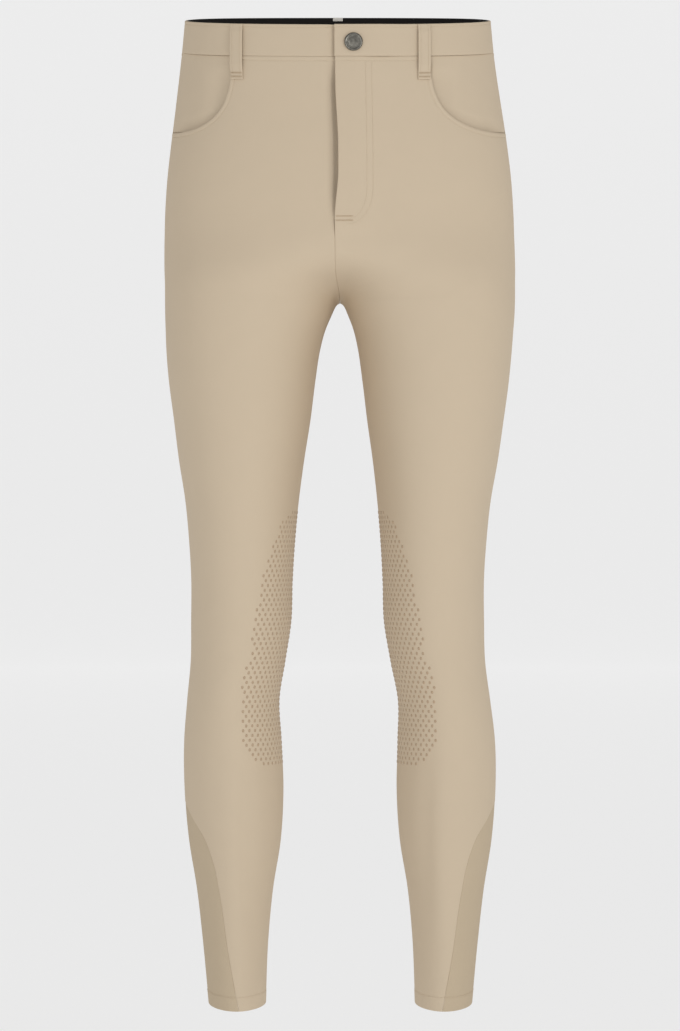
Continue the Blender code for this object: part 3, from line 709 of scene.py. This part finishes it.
def calf_insert(side):
    """Stretch insert round the lower leg, from its diagonal front seam to the inseam."""
    rows = body_rows(HEM)
    rows = np.concatenate([INSERT_TOP + CLOSE, rows[rows > INSERT_TOP + 2.0 * ROUND]])
    low = seam_edge(insert_edge(rows), rows, 1.0)
    share = across_panel(low, seam_edge(1.0, rows, -1.0), rows, PANEL_COLUMNS)
    rise = hem_rise(rows)[:, None] - INSERT_IN
    return shell("insert_" + side_name(side), side, share, rows[:, None], rise, INSERT_WALL)


def pocket_bearer(side):
    """Hip piece behind the scoop: flush at the side seam, tucked under the front elsewhere."""
    rows = levels(BAND_HEIGHT + SEAM, POCKET_DROP + POCKET_UNDER, 2.4)
    near = np.arange(POCKET_DROP - 4.0, POCKET_DROP + 0.8, 0.4)
    rows = np.concatenate([rows[rows < near[0] - 0.4], near, rows[rows > near[-1] + 0.4]])
    low = around(pocket_x(side) - POCKET_UNDER, rows)
    share = across_panel(low, seam_edge(0.5, rows, -1.0), rows, BEARER_COLUMNS)
    level = rows[:, None]
    edge = scoop_top(side, share)
    beside = ease(share, 0.36, 0.485)
    flush = beside * (1.0 - ease(level, edge - 1.3, edge - 0.2))
    x, _, _ = form_point(share, level)
    upright = (1.0 - ease(x - pocket_x(side), 4.0, 26.0)) * ease(level, 42.0, 60.0)
    near = np.maximum(upright, ease(level, edge - 16.0, edge - 2.0))
    deep = POCKET_RECESS + POCKET_SINK * near
    deep = deep + (CLOTH + 0.15 - deep) * beside
    recess = POCKET_SEAM_DEPTH + (deep - POCKET_SEAM_DEPTH) * (1.0 - flush)
    return shell("bearer_" + side_name(side), side, share, level, -recess, BEARER_WALL)


def waistband(side):
    """Half of the waistband, topstitched along its top, with one end lapped over the other."""
    near_stitches = [1.5, 2.0, 2.5, 3.0, 3.5, 4.0, 4.8]
    below = np.arange(6.4, BAND_HEIGHT - 2.0, 1.6)
    rows = np.concatenate([CLOSE, near_stitches, below, BAND_HEIGHT - CLOSE[::-1]])
    low = around(-BAND_END if side > 0 else -BAND_UNDER, rows)
    share = across_panel(low, seam_edge(1.0, rows, -1.0), rows, BAND_COLUMNS)
    level = rows[:, None]
    puffed = (stitched(rows, BAND_STITCH) * ease(rows, 0.0, 1.0))[:, None]
    rise = band_rise(side, share, level) - band_sink(side, share, level) + puffed
    return shell("band_" + side_name(side), side, share, level, rise, BAND_WALL)


def waist_lining(side):
    """Elastic inside the waistband, just proud of its top edge, clear of the left end's lap."""
    rows = levels(-0.3, BAND_HEIGHT - 2.0, 1.6)
    low = np.full(rows.shape, 0.15 if side > 0 else 0.0)
    share = across_panel(low, seam_edge(1.0, rows, -1.0), rows, LINING_COLUMNS)
    level = rows[:, None]
    rise = band_rise(side, share, level) - band_sink(side, share, level) - BAND_WALL - GAP
    return shell("lining_" + side_name(side), side, share, level, rise, LINING_WALL)


def fly_strip(name, left_reach, right_reach, depth, wall, top, end):
    """A strip behind the fly, from the right to the left, depth behind the right front."""
    rows = levels(top, end, 3.0)
    level = rows[:, None]
    share = across_panel(around(-right_reach, rows), around(left_reach, rows), rows, STRIP_COLUMNS)
    x, _, _ = form_point(share, level)
    return shell(name, 1.0, share, level, -depth - fly_sink(x, level), wall)


def loop_bow(down):
    """How far a belt loop stands off the waistband between its two sewn ends."""
    return LOOP_RISE * ease(down, 2.0, 10.0) * (1.0 - ease(down, 40.0, 51.0))


def belt_loop(name, side, across, behind):
    """A belt loop: a flat strip, sewn down at both ends and bowed off the cloth between them."""
    rows = levels(0.6, LOOP_LENGTH, 1.3)
    near, far = across - LOOP_WIDTH / 2.0, across + LOOP_WIDTH / 2.0
    if behind:
        near, far = far, near
    low, high = around(near, rows, behind), around(far, rows, behind)
    share = across_panel(low, high, rows, STRIP_COLUMNS)
    rise = GAP + LOOP_WALL + loop_bow(rows)
    return shell(name, side, share, rows[:, None], rise[:, None], LOOP_WALL)


TAB_HALF = 5.1
TAB_WALL = 0.8
TAB_COLUMNS = 8


def back_tab():
    """Small bare tab folded over the top of the lining at the centre back."""
    rows = levels(-0.5, 3.2, 0.8)
    low, high = around(TAB_HALF, rows, True), around(-TAB_HALF, rows, True)
    depth = BAND_WALL + GAP + LINING_WALL + GAP
    share = across_panel(low, high, rows, TAB_COLUMNS)
    return shell("neck_tab", 1.0, share, rows[:, None], -depth, TAB_WALL)


# The stud's cap, turned: radius and height over the waistband.
BUTTON_TURNS = 72
BUTTON_PROFILE = (
    (8.6, 0.0),
    (9.0, 0.3),
    (9.0, 1.5),
    (8.75, 2.0),
    (8.3, 2.35),
    (7.8, 2.5),
    (7.3, 2.4),
    (6.9, 2.15),
    (6.5, 2.1),
    (5.4, 2.25),
    (5.1, 2.2),
    (4.8, 2.28),
    (3.2, 2.4),
    (1.6, 2.48),
    (0.02, 2.5),
)


def stud():
    """The metal stud: a rolled rim round a shallow dished face with one raised ring."""
    down = np.full(1, BUTTON_DOWN)
    share = around(np.full(1, BUTTON_ACROSS), down)
    seat, facing = cloth_points(share, down, BAND_RISE + GAP, 1.0)
    seat, facing = seat[0], facing[0]
    sideways = np.cross(facing, (0.0, 0.0, 1.0))
    sideways /= np.linalg.norm(sideways)
    upward = np.cross(sideways, facing)
    turns = BUTTON_TURNS
    angle = 2.0 * np.pi * np.arange(turns) / turns
    spokes = np.cos(angle)[:, None] * sideways + np.sin(angle)[:, None] * upward
    rings = [seat + spokes * radius + facing * rise for radius, rise in BUTTON_PROFILE]
    points = np.vstack(rings)
    first = np.arange(len(rings) - 1)[:, None] * turns + np.arange(turns)[None, :]
    after = np.arange(len(rings) - 1)[:, None] * turns + (np.arange(turns)[None, :] + 1) % turns
    quads = np.stack([first, after, after + turns, first + turns], axis=-1).reshape(-1, 4)
    mesh = bmesh.new()
    verts = [mesh.verts.new(point * MM) for point in points]
    for quad in quads:
        mesh.faces.new([verts[i] for i in quad])
    mesh.faces.new(verts[:turns][::-1])
    mesh.faces.new(verts[-turns:])
    bmesh.ops.recalc_face_normals(mesh, faces=mesh.faces[:])
    data = bpy.data.meshes.new("stud")
    mesh.to_mesh(data)
    mesh.free()
    data.shade_smooth()
    return placed("stud", data)


# ---------------------------------------------------------------- repeated small things

def seats_object(name, places, along, facing):
    """Loose points that carry the direction and the facing of what is set on them."""
    data = bpy.data.meshes.new(name)
    data.from_pydata((places * MM).tolist(), [], [])
    for label, values in (("along", along), ("facing", facing)):
        layer = data.attributes.new(label, "FLOAT_VECTOR", "POINT")
        layer.data.foreach_set("vector", np.asarray(values, dtype=np.float32).ravel())
    return placed(name, data)


BEAD_RINGS = 5


def bead_tree():
    """Geometry Nodes: an oval bead on every point, turned along the seam and out of the cloth."""
    tree = bpy.data.node_groups.new("beads_on_cloth", "GeometryNodeTree")
    face = tree.interface
    face.new_socket("Geometry", in_out="INPUT", socket_type="NodeSocketGeometry")
    for label in ("Length", "Width", "Height"):
        face.new_socket(label, in_out="INPUT", socket_type="NodeSocketFloat")
    face.new_socket("Segments", in_out="INPUT", socket_type="NodeSocketInt")
    face.new_socket("Finish", in_out="INPUT", socket_type="NodeSocketMaterial")
    face.new_socket("Geometry", in_out="OUTPUT", socket_type="NodeSocketGeometry")
    given = add(tree, "NodeGroupInput")
    sizes = add(tree, "ShaderNodeCombineXYZ",
                [(given.outputs["Length"], "X"), (given.outputs["Width"], "Y"),
                 (given.outputs["Height"], "Z")])
    bead = add(tree, "GeometryNodeMeshUVSphere", [(given.outputs["Segments"], "Segments")],
               in_Rings=BEAD_RINGS, in_Radius=0.5)
    oval = add(tree, "GeometryNodeTransform", [(bead.outputs["Mesh"], "Geometry"),
                                               (sizes.outputs["Vector"], "Scale")])
    along = add(tree, "GeometryNodeInputNamedAttribute", data_type="FLOAT_VECTOR", in_Name="along")
    facing = add(tree, "GeometryNodeInputNamedAttribute", data_type="FLOAT_VECTOR", in_Name="facing")
    turn = add(tree, "FunctionNodeAxesToRotation",
               [(along.outputs["Attribute"], "Secondary Axis"),
                (facing.outputs["Attribute"], "Primary Axis")],
               primary_axis="Z", secondary_axis="X")
    strewn = add(tree, "GeometryNodeInstanceOnPoints",
                 [(given.outputs["Geometry"], "Points"), (oval.outputs["Geometry"], "Instance"),
                  (turn.outputs["Rotation"], "Rotation")])
    real = add(tree, "GeometryNodeRealizeInstances", [(strewn.outputs["Instances"], "Geometry")])
    smooth = add(tree, "GeometryNodeSetShadeSmooth", [(real.outputs["Geometry"], "Geometry")])
    dressed = add(tree, "GeometryNodeSetMaterial", [(smooth.outputs["Geometry"], "Geometry"),
                                                    (given.outputs["Finish"], "Material")])
    add(tree, "NodeGroupOutput", [(dressed.outputs["Geometry"], "Geometry")])
    return tree


def beads(name, seats, size, made):
    """Beads of one size on all the given seats, as one plain mesh."""
    length, width, height, segments = size
    places, along, facing = (np.vstack(part) for part in zip(*seats))
    base = seats_object(name + "_seats", places, along, facing)
    modifier = base.modifiers.new("beads", "NODES")
    modifier.node_group = BEADS
    given = {"Length": length * MM, "Width": width * MM, "Height": height * MM,
             "Segments": segments, "Finish": made}
    for item in BEADS.interface.items_tree:
        if item.in_out == "INPUT" and item.name in given:
            modifier[item.identifier] = given[item.name]
    bpy.context.view_layer.update()
    graph = bpy.context.evaluated_depsgraph_get()
    data = bpy.data.meshes.new_from_object(base.evaluated_get(graph))
    data.name = name
    bpy.data.objects.remove(base, do_unlink=True)
    return placed(name, data)


AIM = 0.3            # a stitch points along the line this far either side of it


def read_along(values, length, stops):
    """Values of a line of points at the given lengths along it."""
    return np.stack([np.interp(stops, length, values[:, i]) for i in range(3)], axis=1)


def run(side, share, down, rise, pitch, skip=0.5):
    """Seats at an even pitch along a line on the cloth, clear of its ends by skip pitches."""
    share, down = np.broadcast_arrays(np.asarray(share, float), np.asarray(down, float))
    points, normal = cloth_points(share, down, rise, side)
    length = np.concatenate([[0.0], np.cumsum(np.linalg.norm(np.diff(points, axis=0), axis=1))])
    count = max(int((length[-1] - 2.0 * skip * pitch) / pitch) + 1, 1)
    stops = skip * pitch + np.linspace(0.0, length[-1] - 2.0 * skip * pitch, count)
    place = read_along(points, length, stops)
    facing = read_along(normal, length, stops)
    along = read_along(points, length, stops + AIM) - read_along(points, length, stops - AIM)
    along /= np.linalg.norm(along, axis=1, keepdims=True)
    return place, along, facing


# ---------------------------------------------------------------- materials

def linear(hex_colour):
    """Scene-linear colour of an sRGB hex value."""
    channels = [int(hex_colour[i:i + 2], 16) / 255.0 for i in (0, 2, 4)]
    return [c / 12.92 if c <= 0.04045 else ((c + 0.055) / 1.055) ** 2.4 for c in channels] + [1.0]


def add(tree, kind, links=(), **settings):
    """Add a node with its settings, then link sockets into it: (output socket, input name)."""
    node = tree.nodes.new(kind)
    for key, value in settings.items():
        if key.startswith("in_"):
            name = key[3:]
            socket = node.inputs[int(name)] if name.isdigit() else node.inputs[name]
            socket.default_value = value
        else:
            setattr(node, key, value)
    for output, target in links:
        tree.links.new(output, node.inputs[target])
    return node


def finish(name, colour, roughness, metallic=0.0, sheen=0.0, sheen_colour="FFFFFF", shine=0.5):
    """A material in one colour."""
    made = bpy.data.materials.new(name)
    made.use_nodes = True
    shader = made.node_tree.nodes["Principled BSDF"]
    shader.inputs["Base Color"].default_value = linear(colour)
    shader.inputs["Roughness"].default_value = roughness
    shader.inputs["Metallic"].default_value = metallic
    shader.inputs["Specular IOR Level"].default_value = shine
    shader.inputs["Sheen Weight"].default_value = sheen
    shader.inputs["Sheen Roughness"].default_value = 0.5
    shader.inputs["Sheen Tint"].default_value = linear(sheen_colour)
    return made


def shades(hex_colour, spread_by):
    """A darker and a lighter shade of one colour, an equal step either side of it."""
    middle = linear(hex_colour)
    return [[c * k for c in middle[:3]] + [1.0] for k in (1.0 - spread_by, 1.0 + spread_by)]


def stripes(tree, place, pitch, distortion=0.0):
    """Even lines across X of the given coordinates, pitch apart in metres."""
    return add(tree, "ShaderNodeTexWave", [(place, "Vector")], wave_type="BANDS",
               bands_direction="X", in_Scale=WAVE / pitch, in_Distortion=distortion, in_Detail=1.0)


def woven(name, colour, pitch, turn, depth, contrast, roughness, sheen=0.05, shine=0.25):
    """Cloth with raised lines at an angle to its grain, and a slight unevenness of the dye."""
    made = finish(name, colour, roughness, sheen=sheen, sheen_colour="FFF1DC", shine=shine)
    tree = made.node_tree
    shader = tree.nodes["Principled BSDF"]
    cloth = add(tree, "ShaderNodeUVMap", uv_map="Cloth").outputs["UV"]
    grain = add(tree, "ShaderNodeMapping", [(cloth, "Vector")], in_Rotation=(0.0, 0.0, turn))
    lines = stripes(tree, grain.outputs["Vector"], pitch, 0.3).outputs["Fac"]
    cloudy = add(tree, "ShaderNodeTexNoise", [(cloth, "Vector")], in_Scale=CLOUD, in_Detail=2.0)
    both = add(tree, "ShaderNodeMath", [(lines, 0), (cloudy.outputs["Fac"], 1)], operation="ADD")
    half = add(tree, "ShaderNodeMath", [(both.outputs["Value"], 0)], operation="MULTIPLY", in_1=0.5)
    tone = add(tree, "ShaderNodeMix", [(half.outputs["Value"], "Factor")], data_type="RGBA")
    tone.inputs[6].default_value, tone.inputs[7].default_value = shades(colour, contrast)
    raised = add(tree, "ShaderNodeBump", [(lines, "Height")], in_Strength=1.0, in_Distance=depth)
    tree.links.new(tone.outputs[2], shader.inputs["Base Color"])
    tree.links.new(raised.outputs["Normal"], shader.inputs["Normal"])
    return made


def brushed_metal(name, dark, light, roughness):
    """Pewter plating, mottled in fine brushed patches that catch the light unevenly."""
    made = finish(name, dark, roughness, 1.0)
    tree = made.node_tree
    shader = tree.nodes["Principled BSDF"]
    place = add(tree, "ShaderNodeTexCoord").outputs["Object"]
    patches = add(tree, "ShaderNodeTexNoise", [(place, "Vector")], in_Scale=PATCH, in_Detail=3.0)
    tone = add(tree, "ShaderNodeMix", [(patches.outputs["Fac"], "Factor")], data_type="RGBA")
    tone.inputs[6].default_value, tone.inputs[7].default_value = linear(dark), linear(light)
    raised = add(tree, "ShaderNodeBump", [(patches.outputs["Fac"], "Height")],
                 in_Strength=0.6, in_Distance=0.0001)
    tree.links.new(tone.outputs[2], shader.inputs["Base Color"])
    tree.links.new(raised.outputs["Normal"], shader.inputs["Normal"])
    return made


WAVE = math.pi / 10.0     # the wave texture repeats this many units apart at scale 1
CLOUD = 45.0              # unevenness of the dye, patches about 20 mm across
PATCH = 420.0             # patches of the metal, about 2 mm across
TWILL_TURN = math.radians(27.0)
TWILL_PITCH = 0.0010      # metres between lines: twill, ribs, the elastic's ridges, tape
RIB_PITCH = 0.0016
RIDGE_PITCH = 0.0018
TAPE_PITCH = 0.0009

# Four-way stretch nylon twill: matt, with a faint steep twill line (drawn at twice its real
# pitch) and hardly any sheen, so the form reads as soft even tones.
CLOTH_FINISH = woven("stretch_nylon_twill", "C9B8A0", TWILL_PITCH, TWILL_TURN, 0.00003,
                     contrast=0.025, roughness=0.85)
# Rib-knit stretch fabric of the calf: fine upright ribs, a little darker and duller.
INSERT_FINISH = woven("ribbed_calf_knit", "BFAE95", RIB_PITCH, 0.0, 0.00007,
                      contrast=0.035, roughness=0.92, sheen=0.03, shine=0.15)
# Woven elastic inside the waist: near black, with ridges that run round it.
DARK_FINISH = woven("woven_elastic", "141110", RIDGE_PITCH, math.pi / 2.0, 0.00012,
                    contrast=0.25, roughness=0.8, sheen=0.02)
# Silicone printed on the cloth: slightly glossier and browner than the twill under it.
SILICONE_FINISH = finish("silicone_print", "B19A80", roughness=0.45, shine=0.4)
# Plated stud and zip: dark pewter with lighter brushed patches.
PEWTER_FINISH = brushed_metal("brushed_pewter", "3F3D39", "959289", roughness=0.36)
# Folded cotton tape: pale and matt, with a plain close weave.
TAPE_FINISH = woven("cotton_tape", "DEDBD4", TAPE_PITCH, 0.0, 0.00006,
                    contrast=0.06, roughness=0.85)
# Spun polyester thread: close to the cloth's colour, a little lighter.
THREAD_FINISH = finish("sewing_thread", "CDBCA2", roughness=0.65)
# The same thread packed close in the bar tacks, coloured darker as painted shade between its
# stitches.
TACK_SHADED_FINISH = finish("bar_tack_thread_shaded", "BBA588", roughness=0.7)


# ---------------------------------------------------------------- assembly

def keep(piece, made, slot, *nodes):
    """Give a finished piece its material and its body, and hide the nodes that it stands for. The
    slot is not used.
    """
    piece.data.materials.clear()
    piece.data.materials.append(made)
    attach(piece, "root")
    if nodes:
        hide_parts(*nodes)
    return piece


def cut(piece):
    """Read a panel's flat pattern from its own UV map; nothing is done with it."""
    data = piece.data
    pattern = np.empty(2 * len(data.loops))
    data.uv_layers["Cloth"].data.foreach_get("uv", pattern)


# Strips behind the fly: reach to the left and right, depth, wall, top and end.
ZIP = (14.0, 14.0, 2.4, 0.9, 36.0, 195.0)
SHIELD = (30.0, 20.0, 3.9, CLOTH, 34.0, 200.0)

for side in (1.0, -1.0):
    name = side_name(side)
    cut(keep(leg_front(side), CLOTH_FINISH, "cloth", "front_" + name))
    cut(keep(leg_back(side), CLOTH_FINISH, "cloth", "back_" + name))
    cut(keep(pocket_bearer(side), CLOTH_FINISH, "cloth", "pocket_bearer_" + name))
    cut(keep(calf_insert(side), INSERT_FINISH, "insert", "calf_insert_" + name))
    cut(keep(waistband(side), CLOTH_FINISH, "cloth", "waistband_" + name))
    cut(keep(waist_lining(side), DARK_FINISH, "lining", "waist_lining_" + name))

# Belt loops: name, side, place across, and whether it is on the back.
LOOPS = (
    ("front_left", 1.0, LOOP_ACROSS - HIP_SHIFT, False),
    ("front_right", -1.0, LOOP_ACROSS + HIP_SHIFT, False),
    ("back_left", 1.0, LOOP_ACROSS, True),
    ("back_right", -1.0, LOOP_ACROSS, True),
    ("back_centre", 1.0, 0.0, True),
)
for name, side, across, behind in LOOPS:
    loop = belt_loop("loop_" + name, side, across, behind)
    cut(keep(loop, CLOTH_FINISH, "cloth", "belt_loop_" + name))
keep(fly_strip("zip", *ZIP), PEWTER_FINISH, "pewter", "fly_zip")
cut(keep(fly_strip("shield", *SHIELD), CLOTH_FINISH, "cloth", "fly_shield"))
cut(keep(back_tab(), TAPE_FINISH, "tape", "back_tab"))
keep(stud(), PEWTER_FINISH, "pewter", "waist_button")


# ---------------------------------------------------------------- stitches and dots

BEADS = bead_tree()
THREAD = 0.15        # how far the thread's centre stands over the cloth
STITCH_PITCH = 2.9
LOOP_PITCH = 2.4
TACK_PITCH = 0.75
FLY_TACKS = (200.5, 205.0)
LOOP_TACKS = (LOOP_LENGTH - 6.5, LOOP_LENGTH - 2.6)
# Beads: length, width, height and segments round them.
STITCH_BEAD = (2.3, 0.42, 0.36, 6)
TACK_BEAD = (1.9, 0.5, 0.42, 6)
GRIP_BEAD = (3.5, 2.7, 0.6, 8)


def line_x(xs, downs, behind=False):
    """A line on the form through points given across and down, as shares and levels."""
    step = np.linspace(0.0, len(xs) - 1.0, 40 * len(xs))
    x = np.interp(step, np.arange(len(xs)), xs)
    down = np.interp(step, np.arange(len(xs)), downs)
    return around(x, down, behind), down


def sewn(side, share, down, rise=0.0, pitch=STITCH_PITCH):
    """Seats of one stitch line on the draped cloth."""
    share, down = np.broadcast_arrays(np.asarray(share, float), np.asarray(down, float))
    return run(side, share, down, rise + THREAD, pitch)


def cloth_stitches():
    """Topstitching of the waist, pockets, fly, hem and loops."""
    seats = []
    for side in (1.0, -1.0):
        front = around(1.5 - BAND_END if side > 0 else 4.5 + 0.2 * SEAM_SHIFT, 10.0)
        share = np.linspace(front if side > 0 else 0.35 * front, 0.995, 600)
        down = np.full(share.shape, BAND_STITCH)
        sunk = stitched(BAND_STITCH, BAND_STITCH)
        seats.append(sewn(side, share, down, band_rise(side, share, down) + sunk))
        edge, level, corner = upper_edge(side)
        into, fall = inward(edge, level, corner)
        sunk = stitched(STITCH_IN, STITCH_IN)
        line, depth = edge + into * STITCH_IN, level + fall * STITCH_IN
        start = around(4.2 - SEAM_SHIFT if side > 0 else 1.0 + SEAM_SHIFT, 40.0)
        for part in (slice(np.searchsorted(line, start), corner - 1), slice(corner + 2, len(edge))):
            rise = lap_rise(side, line[part], depth[part]) + sunk
            seats.append(sewn(side, line[part], depth[part], rise))
        share = np.linspace(0.503, 0.996, 400)
        seats.append(sewn(side, share, BAND_HEIGHT + SEAM + STITCH_IN, sunk))
        share = np.linspace(0.003, 0.997, 500)
        seats.append(sewn(side, share, HEM - HEM_DEPTH, hem_rise(HEM - HEM_DEPTH)))
    return seats


FLY_TURN_ACROSS = 8.0   # the rows of fly stitching turn in round this point
FLY_TURN_DOWN = 170.0
FLY_ROWS = ((19.0, 34.0), (25.0, 39.0))


def fly_stitches():
    """Two rows of stitching down the fly that curve in to the bar tack below it."""
    seats = []
    for width, depth in FLY_ROWS:
        turn = np.linspace(0.0, math.pi / 2.0, 12)
        upright = FLY_TURN_ACROSS + width
        xs = np.concatenate([[upright, upright], FLY_TURN_ACROSS + width * np.cos(turn)])
        curve = FLY_TURN_DOWN + depth * np.sin(turn)
        downs = np.concatenate([[BAND_HEIGHT + 6.0, FLY_TURN_DOWN - 2.0], curve])
        share, down = line_x(xs, downs)
        seats.append(sewn(1.0, share, down, lap_rise(1.0, share, down)))
    return seats


def loop_stitches(side, across, behind):
    """A row of stitches down each side of a belt loop."""
    seats = []
    for shift in (-3.6, 3.6):
        down = np.linspace(2.0, LOOP_LENGTH - 1.5, 80)
        share = around(across + shift, down, behind)
        seats.append(sewn(side, share, down, GAP + LOOP_WALL + loop_bow(down), LOOP_PITCH))
    return seats


def tack(side, xs, level, rise, behind=False):
    """A bar tack: close stitches side by side across the cloth."""
    share, down = line_x(xs, (level, level), behind)
    place, along, facing = run(side, share, down, rise + THREAD, TACK_PITCH, 0.0)
    return place, np.cross(facing, along), facing


seams = cloth_stitches() + fly_stitches()
tacks = []
for _, side, across, behind in LOOPS:
    seams += loop_stitches(side, across, behind)
    for level in LOOP_TACKS:
        rise = GAP + LOOP_WALL + loop_bow(level)
        tacks.append(tack(side, (across - 5.2, across + 5.2), level, rise, behind))
for level in FLY_TACKS:
    tacks.append(tack(1.0, (-3.0, 13.0), level, LAP_RISE - 0.1))
keep(beads("stitching", seams, STITCH_BEAD, THREAD_FINISH), THREAD_FINISH, "cloth")
# The bar tacks carry the thread's colour darkened as painted shade.
keep(beads("bar_tacks", tacks, TACK_BEAD, TACK_SHADED_FINISH), TACK_SHADED_FINISH, "cloth")


GRIP_SEAT = 0.05     # how far a dot's middle stands over the cloth


def grip_seats(side):
    """Staggered rows of dots inside the grip's edge, from the inseam round to the back."""
    places, alongs, facings = [], [], []
    for number, level in enumerate(np.arange(GRIP_TOP + 5.0, GRIP_END, GRIP_ROWS)):
        x_edge = follow(GRIP_EDGE, EDGE_COLUMNS, "across", level)
        ahead = float(around(x_edge, level))
        behind = float(around(x_edge, level, True)) - 1.0
        share = np.linspace(behind, ahead, 400)
        x, y, _ = form_point(share, np.full(400, level))
        arc = np.concatenate([[0.0], np.cumsum(np.hypot(np.diff(x), np.diff(y)))])
        arc -= np.interp(0.0, share, arc)
        shift = GRIP_PITCH / 2.0 if number % 2 else 0.0
        first = math.ceil((arc[0] + GRIP_CLEAR - shift) / GRIP_PITCH)
        last = math.floor((arc[-1] - GRIP_CLEAR - shift) / GRIP_PITCH)
        stops = shift + GRIP_PITCH * np.arange(first, last + 1)
        if not len(stops):
            continue
        spots = np.interp(stops, arc, share)
        points, normal = cloth_points(spots, level, GRIP_SEAT, side)
        below, _ = cloth_points(spots, level + 1.0, GRIP_SEAT, side)
        along = below - points
        places.append(points)
        alongs.append(along / np.linalg.norm(along, axis=1, keepdims=True))
        facings.append(normal)
    return [(np.vstack(places), np.vstack(alongs), np.vstack(facings))]


for side in (1.0, -1.0):
    name = side_name(side)
    dots = beads("grip_dots_" + name, grip_seats(side), GRIP_BEAD, SILICONE_FINISH)
    keep(dots, SILICONE_FINISH, "silicone", "knee_grip_" + name)


# ---------------------------------------------------------------- floor, camera and light

# The studio, in metres: a round floor with a swept wall, soft light all round and two lamps.
FLOOR = -1.06
FLOOR_REACH = 12.0
SWEEP = 3.0
WALL_TOP = 5.5
SWEEP_STEPS = 16
FLOOR_TURNS = 96
FLOOR_GLOW = 0.60    # the paper glows a little, so that it stays even and pale far off
SURROUND = 0.475
LAMP_SIZE = (1.6, 1.6)
LAMP_SPREAD = math.radians(42.0)
LAMP_TARGET = (0.0, 0.0, -0.34)
KEY_PLACE, KEY_POWER = (3.2, -3.8, 0.0), 3.3
FILL_PLACE, FILL_POWER = (-1.4, -4.6, -0.1), 2.1
CAMERA_PLACE = (0.0022, -4.2, -0.4775)
LENS = 146.66        # millimetres, behind a 36 mm wide frame


def studio_floor():
    """A pale round floor that sweeps up into a low wall all the way round, far off."""
    profile = [(0.0, 0.0), (FLOOR_REACH, 0.0)]
    for step in range(1, SWEEP_STEPS + 1):
        turn = math.pi / 2.0 * step / SWEEP_STEPS
        profile.append((FLOOR_REACH + SWEEP * math.sin(turn), SWEEP * (1.0 - math.cos(turn))))
    profile.append((FLOOR_REACH + SWEEP, WALL_TOP))
    points = [(0.0, 0.0, FLOOR)]
    for radius, rise in profile[1:]:
        for step in range(FLOOR_TURNS):
            turn = 2.0 * math.pi * step / FLOOR_TURNS
            points.append((radius * math.cos(turn), radius * math.sin(turn), FLOOR + rise))
    faces = [(0, 1 + step, 1 + (step + 1) % FLOOR_TURNS) for step in range(FLOOR_TURNS)]
    for ring in range(len(profile) - 2):
        first = 1 + ring * FLOOR_TURNS
        for step in range(FLOOR_TURNS):
            after = (step + 1) % FLOOR_TURNS
            faces.append((first + step, first + FLOOR_TURNS + step,
                          first + FLOOR_TURNS + after, first + after))
    data = bpy.data.meshes.new("studio_floor")
    data.from_pydata(points, [], faces)
    data.shade_smooth()
    paper = finish("studio_paper", "A0A0A0", roughness=1.0)
    shader = paper.node_tree.nodes["Principled BSDF"]
    shader.inputs["Emission Color"].default_value = linear("FFFFFF")
    shader.inputs["Emission Strength"].default_value = FLOOR_GLOW
    data.materials.append(paper)
    placed("studio_floor", data)


def area_light(name, place, power):
    """A square soft lamp with a narrow beam, turned to the middle of the breeches."""
    data = bpy.data.lights.new(name, "AREA")
    data.shape = "RECTANGLE"
    data.size, data.size_y = LAMP_SIZE
    data.energy = power
    data.spread = LAMP_SPREAD
    lamp = placed(name, data)
    lamp.location = place
    lamp.rotation_euler = (Vector(LAMP_TARGET) - Vector(place)).to_track_quat("-Z", "Y").to_euler()


studio_floor()
area_light("key", KEY_PLACE, KEY_POWER)
area_light("fill", FILL_PLACE, FILL_POWER)
world = bpy.data.worlds.new("studio")
world.use_nodes = True
world.node_tree.nodes["Background"].inputs["Color"].default_value = (1.0, 1.0, 1.0, 1.0)
world.node_tree.nodes["Background"].inputs["Strength"].default_value = SURROUND
bpy.context.scene.world = world
bpy.context.scene.view_settings.view_transform = "Standard"

lens = bpy.data.cameras.new("camera")
lens.lens = LENS
lens.sensor_width = 36.0
camera = placed("camera", lens)
camera.location = CAMERA_PLACE
camera.rotation_euler = (math.pi / 2.0, 0.0, 0.0)
bpy.context.scene.camera = camera
